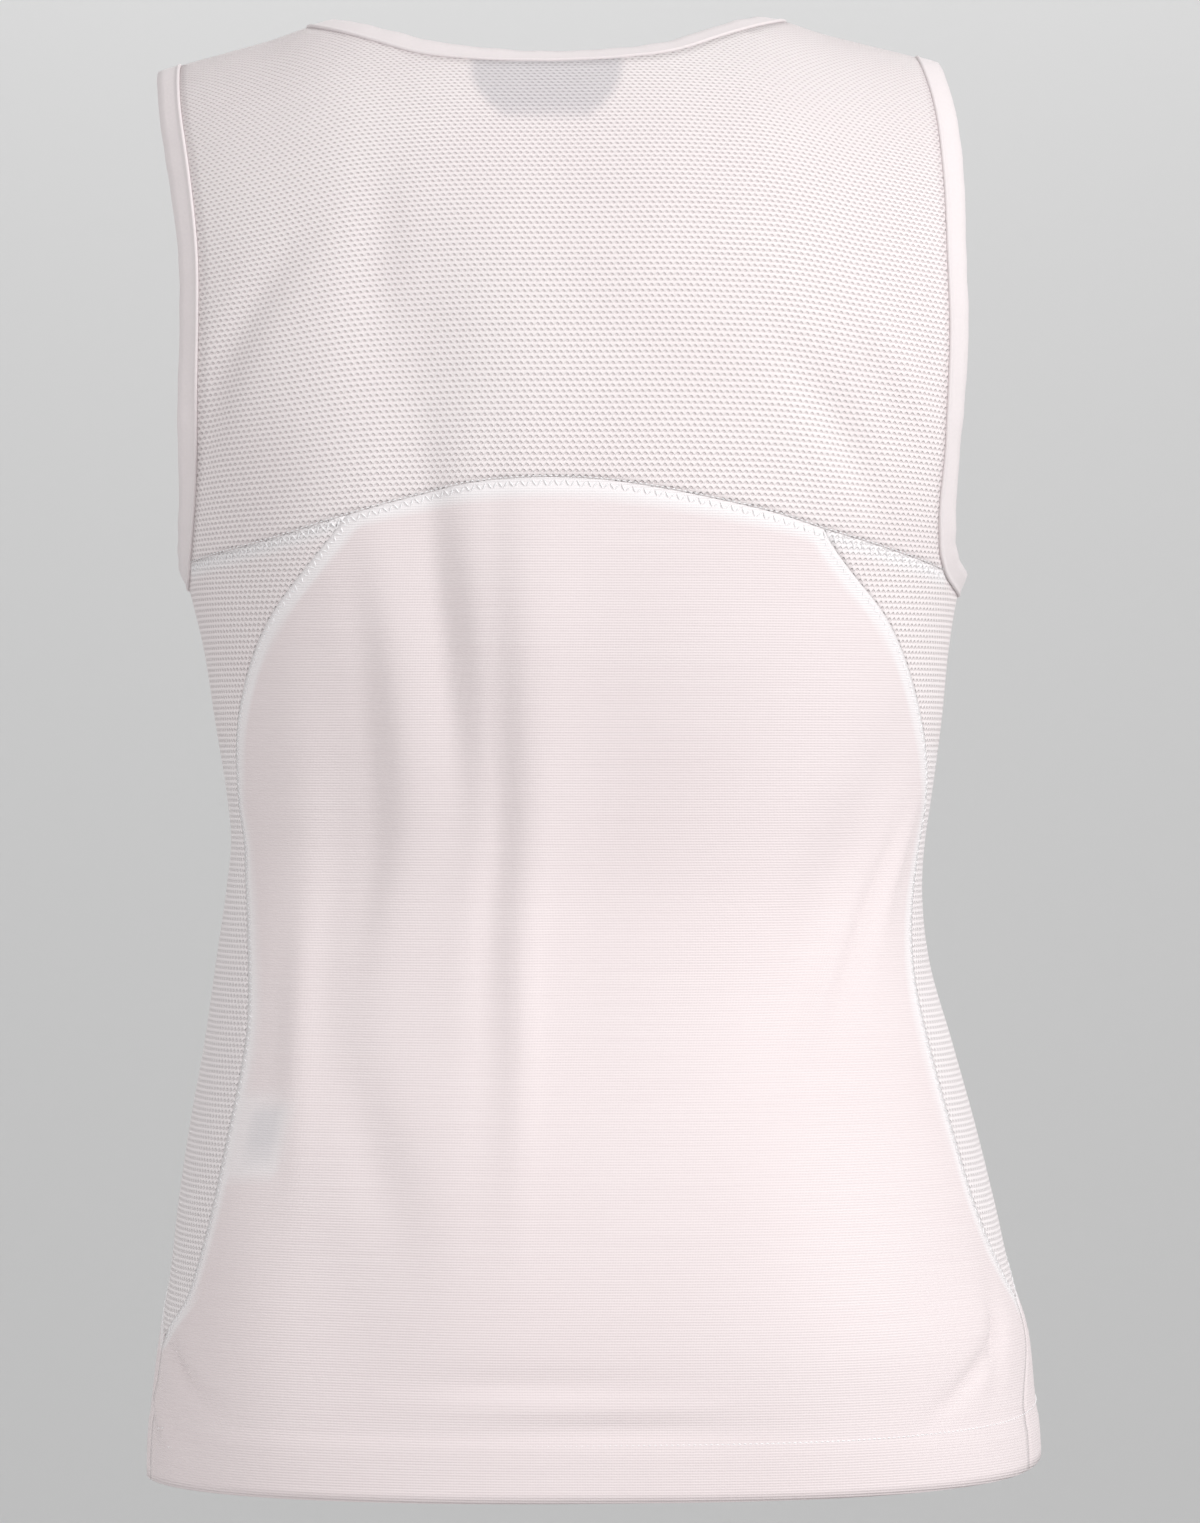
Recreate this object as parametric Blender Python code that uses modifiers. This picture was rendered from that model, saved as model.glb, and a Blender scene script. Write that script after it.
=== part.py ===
"""Running singlet in its worn, hollow form: mesh yoke, plain knit body, mesh side panels, bound edges.

Metres, +Z up. The garment's back faces -Y and its front +Y; the wearer's left is -X. The origin
lies midway between the tops of the two shoulder straps. Every panel lies on one surface of two
coordinates: the turn about the body in degrees (0 at centre back, 90 at the right side, 180 at
centre front) and the lift, which is the height up to the armholes and follows the arch over the
shoulders above them.
"""
import bmesh
import bpy
import numpy as np

# cloth
WALL = 0.0013            # panels, one layer of knit
HEM_WALL = 0.0020        # turn-up at the bottom, two layers
BINDING_WALL = 0.0020    # folded strip
BINDING_WIDTH = 0.0105
HEM_DEPTH = 0.025        # height of the turn-up
SEAM_GAP = 0.00035       # between neighbouring pieces
LABEL_WALL = 0.0006

# the worn form
SQUARENESS = 2.35        # of each level section; 2 is an ellipse
ARCH_POWER = 2.5         # of the arch over the shoulders; 2 is an ellipse
ARCH_BASE = -0.235       # height where the arch starts
ARCH_RISE = 0.250        # from there to the shoulder line
SHOULDER_HALF = 0.190    # half width of the form at the shoulder line
SHOULDER_TILT = 0.012    # the right shoulder is the higher one, rise per metre of width

# level sections: height, reach to the left, to the right, to the back, to the front
SECTIONS = (
    (-0.620, 0.1822, 0.1985, 0.1250, 0.1060),
    (-0.600, 0.1820, 0.1985, 0.1250, 0.1060),
    (-0.575, 0.1800, 0.1962, 0.1245, 0.1060),
    (-0.547, 0.1763, 0.1928, 0.1235, 0.1060),
    (-0.530, 0.1732, 0.1872, 0.1220, 0.1050),
    (-0.495, 0.1690, 0.1790, 0.1170, 0.1030),
    (-0.461, 0.1640, 0.1705, 0.1100, 0.1000),
    (-0.427, 0.1580, 0.1610, 0.1020, 0.0960),
    (-0.392, 0.1530, 0.1512, 0.0960, 0.0930),
    (-0.358, 0.1482, 0.1482, 0.0940, 0.0915),
    (-0.340, 0.1465, 0.1495, 0.0955, 0.0920),
    (-0.323, 0.1482, 0.1520, 0.0980, 0.0940),
    (-0.289, 0.1535, 0.1565, 0.1040, 0.1000),
    (-0.255, 0.1590, 0.1600, 0.1100, 0.1070),
    (-0.237, 0.1634, 0.1630, 0.1120, 0.1100),
    (-0.200, 0.1735, 0.1730, 0.1145, 0.1125),
    (-0.160, 0.1850, 0.1845, 0.1150, 0.1120),
    (-0.120, 0.1925, 0.1925, 0.1150, 0.1100),
    (-0.060, 0.1970, 0.1890, 0.1150, 0.1070),
    (0.000, 0.2020, 0.1780, 0.1150, 0.1050),
    (0.020, 0.2020, 0.1780, 0.1150, 0.1050),
)
LEFT, RIGHT, BACK, FRONT = 1, 2, 3, 4

# shoulder line: distance out from the middle, height
RIDGE = (
    (0.000, 0.0145),
    (0.060, 0.0140),
    (0.090, 0.0112),
    (0.103, 0.0078),
    (0.116, 0.0034),
    (0.135, -0.0016),
    (0.156, -0.0070),
    (0.190, -0.0200),
)
NECK_HALF = 0.103        # half width of the neck opening at the shoulder line
STRAP_INNER = {BACK: 0.084, FRONT: 0.082}   # distance out where the neck curve turns up the strap
# neck seams: distance out from the middle, height at the back, height at the front
NECK = (
    (0.000, -0.0142, -0.1150),
    (0.030, -0.0130, -0.1090),
    (0.055, -0.0095, -0.0920),
    (0.075, -0.0025, -0.0660),
    (0.090, 0.0028, -0.0340),
    (0.098, 0.0056, -0.0120),
    (0.103, 0.0078, 0.0078),
)

# armhole seams: height, then distance out: back left, back right, front left, front right
ARMHOLE = (
    (-0.2380, 0.1665, 0.1660, 0.1665, 0.1660),
    (-0.2350, 0.1650, 0.1620, 0.1650, 0.1620),
    (-0.2305, 0.1632, 0.1575, 0.1632, 0.1575),
    (-0.2215, 0.1616, 0.1534, 0.1550, 0.1530),
    (-0.2090, 0.1600, 0.1522, 0.1500, 0.1490),
    (-0.1710, 0.1585, 0.1545, 0.1440, 0.1440),
    (-0.1250, 0.1565, 0.1563, 0.1420, 0.1420),
    (-0.0940, 0.1570, 0.1555, 0.1430, 0.1420),
    (-0.0600, 0.1610, 0.1545, 0.1480, 0.1430),
    (-0.0266, 0.1665, 0.1510, 0.1580, 0.1450),
    (0.0000, 0.1690, 0.1440, 0.1680, 0.1440),
)

# arched seam under the yoke: place across (left is negative), height
YOKE_SEAM = (
    (-0.175, -0.2265),
    (-0.159, -0.2220),
    (-0.125, -0.2140),
    (-0.095, -0.2050),
    (-0.066, -0.1970),
    (-0.045, -0.1925),
    (-0.020, -0.1902),
    (0.012, -0.1910),
    (0.035, -0.1942),
    (0.060, -0.1990),
    (0.085, -0.2048),
    (0.103, -0.2105),
    (0.123, -0.2160),
    (0.143, -0.2220),
    (0.163, -0.2290),
    (0.175, -0.2330),
)
PANEL_CORNER = {LEFT: -0.095, RIGHT: 0.103}   # across, where yoke, back panel and side panel meet

# side panel seams: height, then turn from centre back: left, right, and from centre front: left, right
SIDE_SEAMS = (
    (-0.550, 74.0, 80.5, 104.5, 106.0),
    (-0.535, 66.0, 77.5, 95.0, 101.0),
    (-0.520, 63.0, 71.5, 86.5, 92.0),
    (-0.500, 60.2, 66.5, 77.5, 81.5),
    (-0.470, 58.2, 64.0, 68.0, 70.5),
    (-0.440, 57.0, 63.3, 62.5, 64.5),
    (-0.415, 57.0, 64.0, 61.0, 63.0),
    (-0.395, 58.7, 66.0, 61.5, 64.5),
    (-0.373, 61.8, 69.0, 63.5, 66.5),
    (-0.350, 66.0, 72.8, 65.5, 68.5),
    (-0.325, 69.0, 74.6, 67.0, 70.0),
    (-0.306, 66.5, 70.0, 67.0, 69.0),
    (-0.290, 62.8, 65.0, 65.5, 67.0),
    (-0.277, 59.0, 60.8, 63.8, 65.0),
    (-0.260, 53.5, 55.0, 61.0, 62.0),
    (-0.245, 47.7, 49.2, 58.5, 59.0),
    (-0.230, 41.2, 42.2, 56.0, 56.5),
    (-0.205, 31.0, 32.0, 52.0, 52.5),
)
FRONT_CORNER_HEIGHT = -0.205   # where front panel and side panel meet at the armhole
POINT_HEIGHT = {LEFT: -0.5500, RIGHT: -0.5350}   # lower tip of each side panel
TIP_TURN = 0.8                 # half width of the tip, degrees
TIP_DROP = 0.005               # height in which the seams close below the tip
# seam between back and front below the side panels: height, turn from centre back: left, right
LOWER_SEAM = (
    (-0.615, 75.0, 66.0),
    (-0.590, 75.5, 67.5),
    (-0.570, 76.0, 71.0),
    (-0.552, 75.5, 76.0),
    (-0.530, 74.5, 79.0),
)
# bottom edge: turn, height
HEM = (
    (-180.0, -0.6100),
    (-90.0, -0.6115),
    (0.0, -0.6105),
    (60.0, -0.6075),
    (90.0, -0.6025),
    (120.0, -0.6065),
    (180.0, -0.6100),
    (270.0, -0.6115),
)

# largest soft folds: turn, height, half width deg, half length, slant deg per m, size outward
FOLDS = (
    (-9.0, -0.340, 9.0, 0.130, 20.0, 0.0025),
    (-21.0, -0.255, 7.0, 0.075, -30.0, -0.0030),
    (-38.0, -0.320, 8.0, 0.080, 30.0, -0.0030),
    (-20.0, -0.140, 8.0, 0.055, 10.0, -0.0025),
    (44.0, -0.365, 9.0, 0.060, 160.0, -0.0030),
    (30.0, -0.540, 14.0, 0.050, 40.0, 0.0020),
    (-35.0, -0.520, 12.0, 0.060, -60.0, -0.0025),
    (150.0, -0.300, 10.0, 0.100, -40.0, -0.0030),
    (205.0, -0.330, 11.0, 0.110, 30.0, -0.0030),
    (180.0, -0.480, 14.0, 0.080, 10.0, 0.0025),
)

# neck binding: turn from centre back, degrees it leans in towards the body
NECK_LEAN = (
    (-90.0, 0.0),
    (-32.0, 2.0),
    (-12.0, 12.0),
    (0.0, 22.0),
    (12.0, 20.0),
    (32.0, 8.0),
    (90.0, 0.0),
)
# armhole bindings: height, degrees they stand away from the body
ARMHOLE_FLARE = (
    (-0.240, 9.0),
    (-0.220, 8.0),
    (-0.190, 3.0),
    (-0.150, 0.0),
    (0.000, 0.0),
)

# steps along the grids
DENSE = 160              # points on a seam before it is divided evenly
BASE_EASE = 1.7          # crowds those points towards the base of an armhole
SHOULDER_STEPS = 3
NECK_STEPS = 16          # across the middle of the neck, the same as BACK_COLUMNS
YOKE_ROWS = 11
YOKE_STRAP_ROWS = 3      # of them, beside the neck opening
FRONT_STRAP_ROWS = 4
HEM_RISES = (0.0, 0.0125, 0.0245, 0.0255)
HEM_INSET_ROWS = 3
LOWER_ROWS = 2
BODY_ROWS = 13
ARMHOLE_ROWS = 8
BACK_COLUMNS = 16
SIDE_YOKE_STEPS = 3
SIDE_BACK_STEPS = 3      # of the armhole base, on the back and on the front
SIDE_FRONT_STEPS = 4
TIP_BLEND = 0.006        # height in which a seam is eased into its end points
PROBE_TURN = 0.05
PROBE_LIFT = 0.0002
WELD = 0.00001
SHARPEST = 0.3           # limit for corners when an edge is drawn in

# labels, by row and column of the grid of the panel they lie inside
NECK_LABEL = {"low": 6.6, "high": 7.85, "middle": 11.0, "half_top": 2.6, "bottom": 0.55}
CARE_LABEL = {"low": 8.0, "high": 9.4, "start": 0.08, "end": 1.1}
LABEL_GAP = 0.0004
LABEL_COLUMNS = 10
LABEL_ROWS = 4

COLORS = {
    "mesh": (0.80, 0.70, 0.71),
    "knit": (0.85, 0.76, 0.77),
    "trim": (0.86, 0.83, 0.83),
    "neck_label": (0.42, 0.44, 0.49),
    "care_label": (0.78, 0.77, 0.78),
}
LIFT_TOP = ARCH_BASE + ARCH_RISE * np.pi / 2


def along(rows, column, at):
    """Smooth value of one table column at the given first-column places."""
    xs = np.array([row[0] for row in rows])
    ys = np.array([row[column] for row in rows])
    slopes = np.gradient(ys, xs)
    at = np.clip(np.asarray(at, dtype=float), xs[0], xs[-1])
    i = np.clip(np.searchsorted(xs, at) - 1, 0, len(xs) - 2)
    span = xs[i + 1] - xs[i]
    t = (at - xs[i]) / span
    rise = ys[i + 1] - ys[i]
    bend = slopes[i] * span * t * (1 - t) ** 2 - slopes[i + 1] * span * t ** 2 * (1 - t)
    return ys[i] + rise * t * t * (3 - 2 * t) + bend


def squared(angle, power):
    """Sine-like and cosine-like parts of a squared circle at an angle in radians."""
    s = np.sin(angle)
    c = np.cos(angle)
    size = (np.abs(s) ** power + np.abs(c) ** power) ** (-1.0 / power)
    return size * s, size * c


def turn_at(across):
    """Turn on the back half at which a fraction of the half width is reached."""
    across = np.clip(across, -1.0, 1.0)
    deep = (1.0 - np.abs(across) ** SQUARENESS) ** (1.0 / SQUARENESS)
    return np.degrees(np.arctan2(across, deep))


def centre(height):
    return 0.5 * (along(SECTIONS, RIGHT, height) - along(SECTIONS, LEFT, height))


def half_width(height):
    return 0.5 * (along(SECTIONS, RIGHT, height) + along(SECTIONS, LEFT, height))


def ridge_height(turn):
    reach = SHOULDER_HALF * squared(np.radians(turn), SQUARENESS)[0]
    return along(RIDGE, 1, np.abs(reach)) + SHOULDER_TILT * reach


def arch(lift):
    """Height and depth fractions of the arch over the shoulder."""
    angle = np.clip((lift - ARCH_BASE) / ARCH_RISE, 0.0, np.pi / 2)
    return squared(angle, ARCH_POWER)


def height_of(turn, lift):
    over = ARCH_BASE + (ridge_height(turn) - ARCH_BASE) * arch(lift)[0]
    return np.where(lift > ARCH_BASE, over, lift)


def lift_of(turn, height):
    """Lift that gives a height at a turn."""
    up = np.clip((height - ARCH_BASE) / (ridge_height(turn) - ARCH_BASE), 0.0, 1.0)
    deep = (1.0 - up ** ARCH_POWER) ** (1.0 / ARCH_POWER)
    over = ARCH_BASE + ARCH_RISE * np.arctan2(up, deep)
    return np.where(height > ARCH_BASE, over, height)


def drape(turn, height):
    """Outward size of the soft folds."""
    total = 0.0 * turn * height
    for at_turn, at_height, wide, long, slant, size in FOLDS:
        rise = height - at_height
        side = (turn - at_turn - slant * rise + 180.0) % 360.0 - 180.0
        total = total + size * np.exp(-(side / wide) ** 2 - (rise / long) ** 2)
    return total


def surface(pairs):
    """Points of the garment's inner face for pairs of turn and lift."""
    turn = pairs[..., 0]
    height = height_of(turn, pairs[..., 1])
    across, deep = squared(np.radians(turn), SQUARENESS)
    closing = arch(pairs[..., 1])[1]
    reach = np.where(deep > 0, along(SECTIONS, BACK, height), along(SECTIONS, FRONT, height))
    out = drape(turn, height) * closing / np.hypot(across, deep)
    x = centre(height) + half_width(height) * across + out * across
    y = -reach * deep * closing - out * deep
    return np.stack([x, y, height], axis=-1)


def pairs_of(turn, lift):
    return np.stack(np.broadcast_arrays(np.asarray(turn, float), np.asarray(lift, float)), axis=-1)


def place(across, height):
    """Pairs of turn and lift of points on the back half given by x and height."""
    turn = turn_at((across - centre(height)) / half_width(height))
    return pairs_of(turn, lift_of(turn, height))


def sign_of(side):
    return 1.0 if side == RIGHT else -1.0


def on_side(side, face, turn):
    """Turn from centre back, given a turn from the centre of one face towards one side."""
    return sign_of(side) * (turn if face == BACK else 180.0 - turn)


def armhole_reach(side, face, height):
    column = {(BACK, LEFT): 1, (BACK, RIGHT): 2, (FRONT, LEFT): 3, (FRONT, RIGHT): 4}[face, side]
    return along(ARMHOLE, column, height)


def armhole_base(side):
    """Height at which the armhole seam passes under the arm."""
    low, high = ARMHOLE[0][0], ARMHOLE[3][0]
    for _ in range(40):
        middle = 0.5 * (low + high)
        room = half_width(middle) + sign_of(side) * centre(middle)
        if armhole_reach(side, BACK, middle) >= room:
            low = middle
        else:
            high = middle
    return middle


def armhole(side, face, low):
    """Armhole seam from a low height up to the shoulder line, on one face."""
    ease = np.linspace(0.0, 1.0, DENSE) ** BASE_EASE
    turn = np.full(DENSE, 60.0)
    for _ in range(12):
        low_lift = lift_of(sign_of(side) * turn[0], np.array(low))
        lift = low_lift + (LIFT_TOP - low_lift) * ease
        height = height_of(sign_of(side) * turn, lift)
        reach = armhole_reach(side, face, height) - sign_of(side) * centre(height)
        turn = turn_at(reach / half_width(height))
    return pairs_of(on_side(side, face, turn), lift)


def yoke_end(side):
    """Height at which the yoke seam meets the armhole seam."""
    height = YOKE_SEAM[0][1]
    for _ in range(20):
        reach = sign_of(side) * armhole_reach(side, BACK, height)
        height = float(along(YOKE_SEAM, 1, reach))
    return height


def yoke_seam(start, end):
    across = np.linspace(start, end, DENSE)
    return place(across, along(YOKE_SEAM, 1, across))


def yoke_end_across(side):
    return sign_of(side) * float(armhole_reach(side, BACK, yoke_end(side)))


def neck_seam(face, start, end):
    """Neck seam on one face between two places across, which grow to the right."""
    ends = np.arcsin(np.clip(np.array([start, end]) / NECK_HALF, -1.0, 1.0))
    reach = NECK_HALF * np.sin(np.linspace(ends[0], ends[1], DENSE))
    turn = turn_at(reach / SHOULDER_HALF)
    height = along(NECK, 1 if face == BACK else 2, np.abs(reach)) + SHOULDER_TILT * reach
    lift = np.where(np.abs(reach) > NECK_HALF - WELD, LIFT_TOP, lift_of(turn, height))
    return pairs_of(turn if face == BACK else 180.0 - turn, lift)


def neck_parts(face):
    """Neck seam from left to right in three runs: strap, middle, strap."""
    inner = STRAP_INNER[face]
    rows = YOKE_STRAP_ROWS if face == BACK else FRONT_STRAP_ROWS
    return (
        steps(neck_seam(face, -NECK_HALF, -inner), rows),
        steps(neck_seam(face, -inner, inner), NECK_STEPS),
        steps(neck_seam(face, inner, NECK_HALF), rows),
    )


def shoulder_seam(side, face):
    """Shoulder line from the armhole to the neck."""
    outer = abs(armhole(side, BACK, yoke_end(side))[-1, 0])
    inner = float(turn_at(NECK_HALF / SHOULDER_HALF))
    return pairs_of(on_side(side, face, np.linspace(outer, inner, DENSE)), LIFT_TOP)


def side_seam(side, face, top):
    """Side panel seam from its lower tip up to the pair where it ends."""
    column = {(BACK, LEFT): 1, (BACK, RIGHT): 2, (FRONT, LEFT): 3, (FRONT, RIGHT): 4}[face, side]
    ease = np.linspace(0.0, 1.0, DENSE)
    height = POINT_HEIGHT[side] + (float(height_of(*top)) - POINT_HEIGHT[side]) * ease
    turn = along(SIDE_SEAMS, column, height)
    tip = float(along(LOWER_SEAM, side, POINT_HEIGHT[side]))
    tip = tip - TIP_TURN if face == BACK else 180.0 - tip - TIP_TURN
    turn = turn + (tip - turn[0]) * np.exp(-(height - height[0]) / TIP_BLEND)
    turn = on_side(side, face, turn)
    turn = turn + (top[0] - turn[-1]) * np.exp((height - height[-1]) / TIP_BLEND)
    seam = pairs_of(turn, lift_of(turn, height))
    seam[-1] = top
    return seam


def panel_corner(side):
    across = np.array(PANEL_CORNER[side])
    return place(across, along(YOKE_SEAM, 1, across))


def front_corner(side):
    return armhole(side, FRONT, FRONT_CORNER_HEIGHT)[0]


def lower_seam(side, start, end):
    height = np.linspace(start, end, DENSE)
    return pairs_of(on_side(side, BACK, along(LOWER_SEAM, side, height)), height)


def steps(seam, count):
    """The seam at a number of even steps of its real length."""
    points = surface(seam)
    lengths = np.linalg.norm(np.diff(points, axis=0), axis=1)
    total = np.concatenate([[0.0], np.cumsum(lengths)])
    at = np.linspace(0.0, total[-1], count + 1)
    return np.stack([np.interp(at, total, seam[:, 0]), np.interp(at, total, seam[:, 1])], axis=-1)


def chain(*runs):
    """Runs of pairs joined end to start, the shared pair kept once."""
    joined = [runs[0]]
    for run in runs[1:]:
        joined.append(run[1:])
    return np.concatenate(joined)


def share(values):
    return (values - values[0]) / (values[-1] - values[0])


def fill(bottom, top, left, right):
    """Grid of pairs spanned between four edges (a Coons patch)."""
    u = np.linspace(0.0, 1.0, len(top))[None, :, None]
    t = 0.5 * (share(left[:, 1]) + share(right[:, 1]))[:, None, None]
    ruled = (1 - t) * bottom[None] + t * top[None] + (1 - u) * left[:, None] + u * right[:, None]
    low = (1 - u) * bottom[0] + u * bottom[-1]
    high = (1 - u) * top[0] + u * top[-1]
    return ruled - (1 - t) * low - t * high


def unit(vectors):
    return vectors / np.linalg.norm(vectors, axis=-1, keepdims=True)


def outward(points):
    """Outward normals of a grid of points whose turn grows along its rows."""
    across = np.gradient(points, axis=1)
    up = np.gradient(points, axis=0)
    return unit(np.cross(across, up))


def hem_line(start, end, rise, count):
    """A level line above the bottom edge between two turns."""
    turn = np.linspace(start, end, count + 1)
    return pairs_of(turn, along(HEM, 1, turn) + rise)


def hem_rows(turns, count):
    """Rows of the turn-up, from the bottom edge to its top."""
    rows = [hem_line(turns[0], turns[1], rise, count) for rise in HEM_RISES]
    return np.stack(rows)


def body_side(side, face, top):
    """One edge of a body panel from the turn-up to the top of its side seam."""
    start = float(along(HEM, 1, on_side(side, BACK, 80.0))) + HEM_RISES[-1]
    close = POINT_HEIGHT[side] - TIP_DROP
    low = steps(lower_seam(side, start, close), LOWER_ROWS)
    high = steps(side_seam(side, face, top), BODY_ROWS)
    return chain(low, np.concatenate([low[-1:], high]))


def back_yoke_seam():
    return steps(yoke_seam(PANEL_CORNER[LEFT], PANEL_CORNER[RIGHT]), BACK_COLUMNS)


def side_yoke_seam(side):
    """Yoke seam from the panel corner out to the armhole."""
    return steps(yoke_seam(PANEL_CORNER[side], yoke_end_across(side)), SIDE_YOKE_STEPS)


def armhole_parts(side):
    """The armhole seam in four runs round the opening, one for each panel edge it passes."""
    base = armhole_base(side)
    back_low = below(armhole(side, BACK, base), yoke_end(side))[::-1]
    front_low = below(armhole(side, FRONT, base), FRONT_CORNER_HEIGHT)
    return (
        steps(armhole(side, BACK, yoke_end(side))[::-1], YOKE_ROWS),
        steps(back_low, SIDE_BACK_STEPS),
        steps(front_low, SIDE_FRONT_STEPS),
        steps(armhole(side, FRONT, FRONT_CORNER_HEIGHT), ARMHOLE_ROWS),
    )


def below(seam, height):
    """The start of a rising seam, cut off at a height."""
    heights = height_of(seam[:, 0], seam[:, 1])
    end = [np.interp(height, heights, seam[:, 0]), np.interp(height, heights, seam[:, 1])]
    return np.concatenate([seam[heights < height], [end]])


def line(start, end, count):
    return start + (end - start) * np.linspace(0.0, 1.0, count + 1)[:, None]


def strap(arm, neck, shoulder):
    """Strap patch; its edges rise along the armhole and the neck, and its top is the shoulder."""
    base = line(arm[0], neck[0], SHOULDER_STEPS)
    return base, fill(base, shoulder, arm, neck)


def mirror_order(grid):
    return grid[:, ::-1]


def yoke_grids():
    """The yoke's main grid, left strap and right strap, as pairs of turn and lift."""
    split = YOKE_ROWS - YOKE_STRAP_ROWS
    arms = {side: armhole_parts(side)[0][::-1] for side in (LEFT, RIGHT)}
    neck_left, neck_middle, neck_right = neck_parts(BACK)
    shoulders = {side: steps(shoulder_seam(side, BACK), SHOULDER_STEPS) for side in (LEFT, RIGHT)}
    base_left, strap_left = strap(arms[LEFT][split:], neck_left[::-1], shoulders[LEFT])
    base_right, strap_right = strap(arms[RIGHT][split:], neck_right, shoulders[RIGHT])
    top = chain(base_left, neck_middle, base_right[::-1])
    bottom = chain(side_yoke_seam(LEFT)[::-1], back_yoke_seam(), side_yoke_seam(RIGHT))
    bottom[0], bottom[-1] = arms[LEFT][0], arms[RIGHT][0]
    main = fill(bottom, top, arms[LEFT][:split + 1], arms[RIGHT][:split + 1])
    return main, strap_left, mirror_order(strap_right)


def body_points(left, right, top, count):
    """A body panel from the bottom edge up, with the turn-up let in at the inside."""
    rows = hem_rows((left[0, 0], right[0, 0]), count)
    bottom = rows[-1].copy()
    bottom[0], bottom[-1] = left[0], right[0]
    points = surface(np.concatenate([rows[:-1], fill(bottom, top, left, right)]))
    points[:HEM_INSET_ROWS] -= (HEM_WALL - WALL) * outward(points)[:HEM_INSET_ROWS]
    return points


def back_panel_points():
    left = body_side(LEFT, BACK, panel_corner(LEFT))
    right = body_side(RIGHT, BACK, panel_corner(RIGHT))
    return body_points(left, right, back_yoke_seam(), BACK_COLUMNS)


def on_past_front(pairs):
    """Left pairs counted on past centre front, so that turns grow from right to left."""
    return pairs + np.array([360.0, 0.0])


def front_panel_points():
    """The front's main grid and its right and left straps."""
    split = ARMHOLE_ROWS - FRONT_STRAP_ROWS
    arms = {RIGHT: armhole_parts(RIGHT)[3], LEFT: on_past_front(armhole_parts(LEFT)[3])}
    right = chain(body_side(RIGHT, FRONT, arms[RIGHT][0]), arms[RIGHT][:split + 1])
    left_low = on_past_front(body_side(LEFT, FRONT, front_corner(LEFT)))
    left = chain(left_low, arms[LEFT][:split + 1])
    neck_left, neck_middle, neck_right = neck_parts(FRONT)
    shoulder_right = steps(shoulder_seam(RIGHT, FRONT), SHOULDER_STEPS)
    shoulder_left = on_past_front(steps(shoulder_seam(LEFT, FRONT), SHOULDER_STEPS))
    base_right, strap_right = strap(arms[RIGHT][split:], neck_right, shoulder_right)
    base_left, strap_left = strap(arms[LEFT][split:], neck_left[::-1], shoulder_left)
    top = chain(base_right, neck_middle[::-1], base_left[::-1])
    main = body_points(right, left, top, 2 * SHOULDER_STEPS + NECK_STEPS)
    return main, surface(strap_right), surface(mirror_order(strap_left))


def side_panel_points(side):
    """Leaf-shaped side panel; its top edge follows the yoke seam, then the base of the armhole."""
    corner = panel_corner(side)
    meet = front_corner(side)
    back_edge = steps(side_seam(side, BACK, corner), BODY_ROWS)
    front_edge = steps(side_seam(side, FRONT, meet), BODY_ROWS)
    parts = armhole_parts(side)
    top = chain(side_yoke_seam(side), parts[1], parts[2])
    top[0], top[-1] = back_edge[-1], front_edge[-1]
    bottom = steps(np.stack([back_edge[0], front_edge[0]]), len(top) - 1)
    if side == RIGHT:
        grid = fill(bottom, top, back_edge, front_edge)
    else:
        grid = fill(bottom[::-1], top[::-1], front_edge, back_edge)
    return surface(grid)


def normals_at(pairs):
    """Outward normals of the form at pairs of turn and lift."""
    aside = np.array([PROBE_TURN, 0.0])
    below = np.array([0.0, PROBE_LIFT])
    across = surface(pairs + aside) - surface(pairs - aside)
    up = surface(pairs) - surface(pairs - below)
    return unit(np.cross(across, up))


def binding(name, runs, lean):
    """Closed strip along an opening; the runs follow one another round it."""
    pairs = np.concatenate([run[:-1] for run in runs])
    lean = np.radians(np.concatenate([lean(run[:-1]) for run in runs]))[:, None]
    points = surface(pairs)
    normals = normals_at(pairs)
    run = unit(np.roll(points, -1, axis=0) - np.roll(points, 1, axis=0))
    inward = unit(np.cross(normals, run))
    if np.sum(inward * (points.mean(axis=0) - points)) < 0:
        inward = -inward
    stand = np.cos(lean) * inward - np.sin(lean) * normals
    face = np.cos(lean) * normals + np.sin(lean) * inward
    middle = points + 0.5 * WALL * normals
    section = binding_section()
    rings = [middle + w * stand + h * face for w, h in section]
    grid = np.stack(rings, axis=1)
    if np.sum(np.cross(run, stand) * normals) < 0:
        grid = grid[:, ::-1]
    grid = np.concatenate([grid, grid[:1]])
    tube_object(name, np.concatenate([grid, grid[:, :1]], axis=1))


def binding_section():
    """Rounded flat section: place along the width, place through the thickness."""
    start = SEAM_GAP
    end = start + BINDING_WIDTH
    half = 0.5 * BINDING_WALL
    soft = 0.7 * half
    return (
        (start, -0.5 * half), (start + soft, -half), (end - soft, -half), (end, -0.5 * half),
        (end, 0.5 * half), (end - soft, half), (start + soft, half), (start, 0.5 * half),
    )


def grid_mesh(points, bm):
    """A grid laid through rows and columns of points, and its vertices row by row."""
    rows, columns = points.shape[:2]
    made = bmesh.ops.create_grid(bm, x_segments=columns - 1, y_segments=rows - 1, size=1.0)
    order = sorted(made["verts"], key=lambda v: (round(v.co.y, 5), round(v.co.x, 5)))
    for vert, point in zip(order, points.reshape(-1, 3)):
        vert.co = point
    return order


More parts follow.
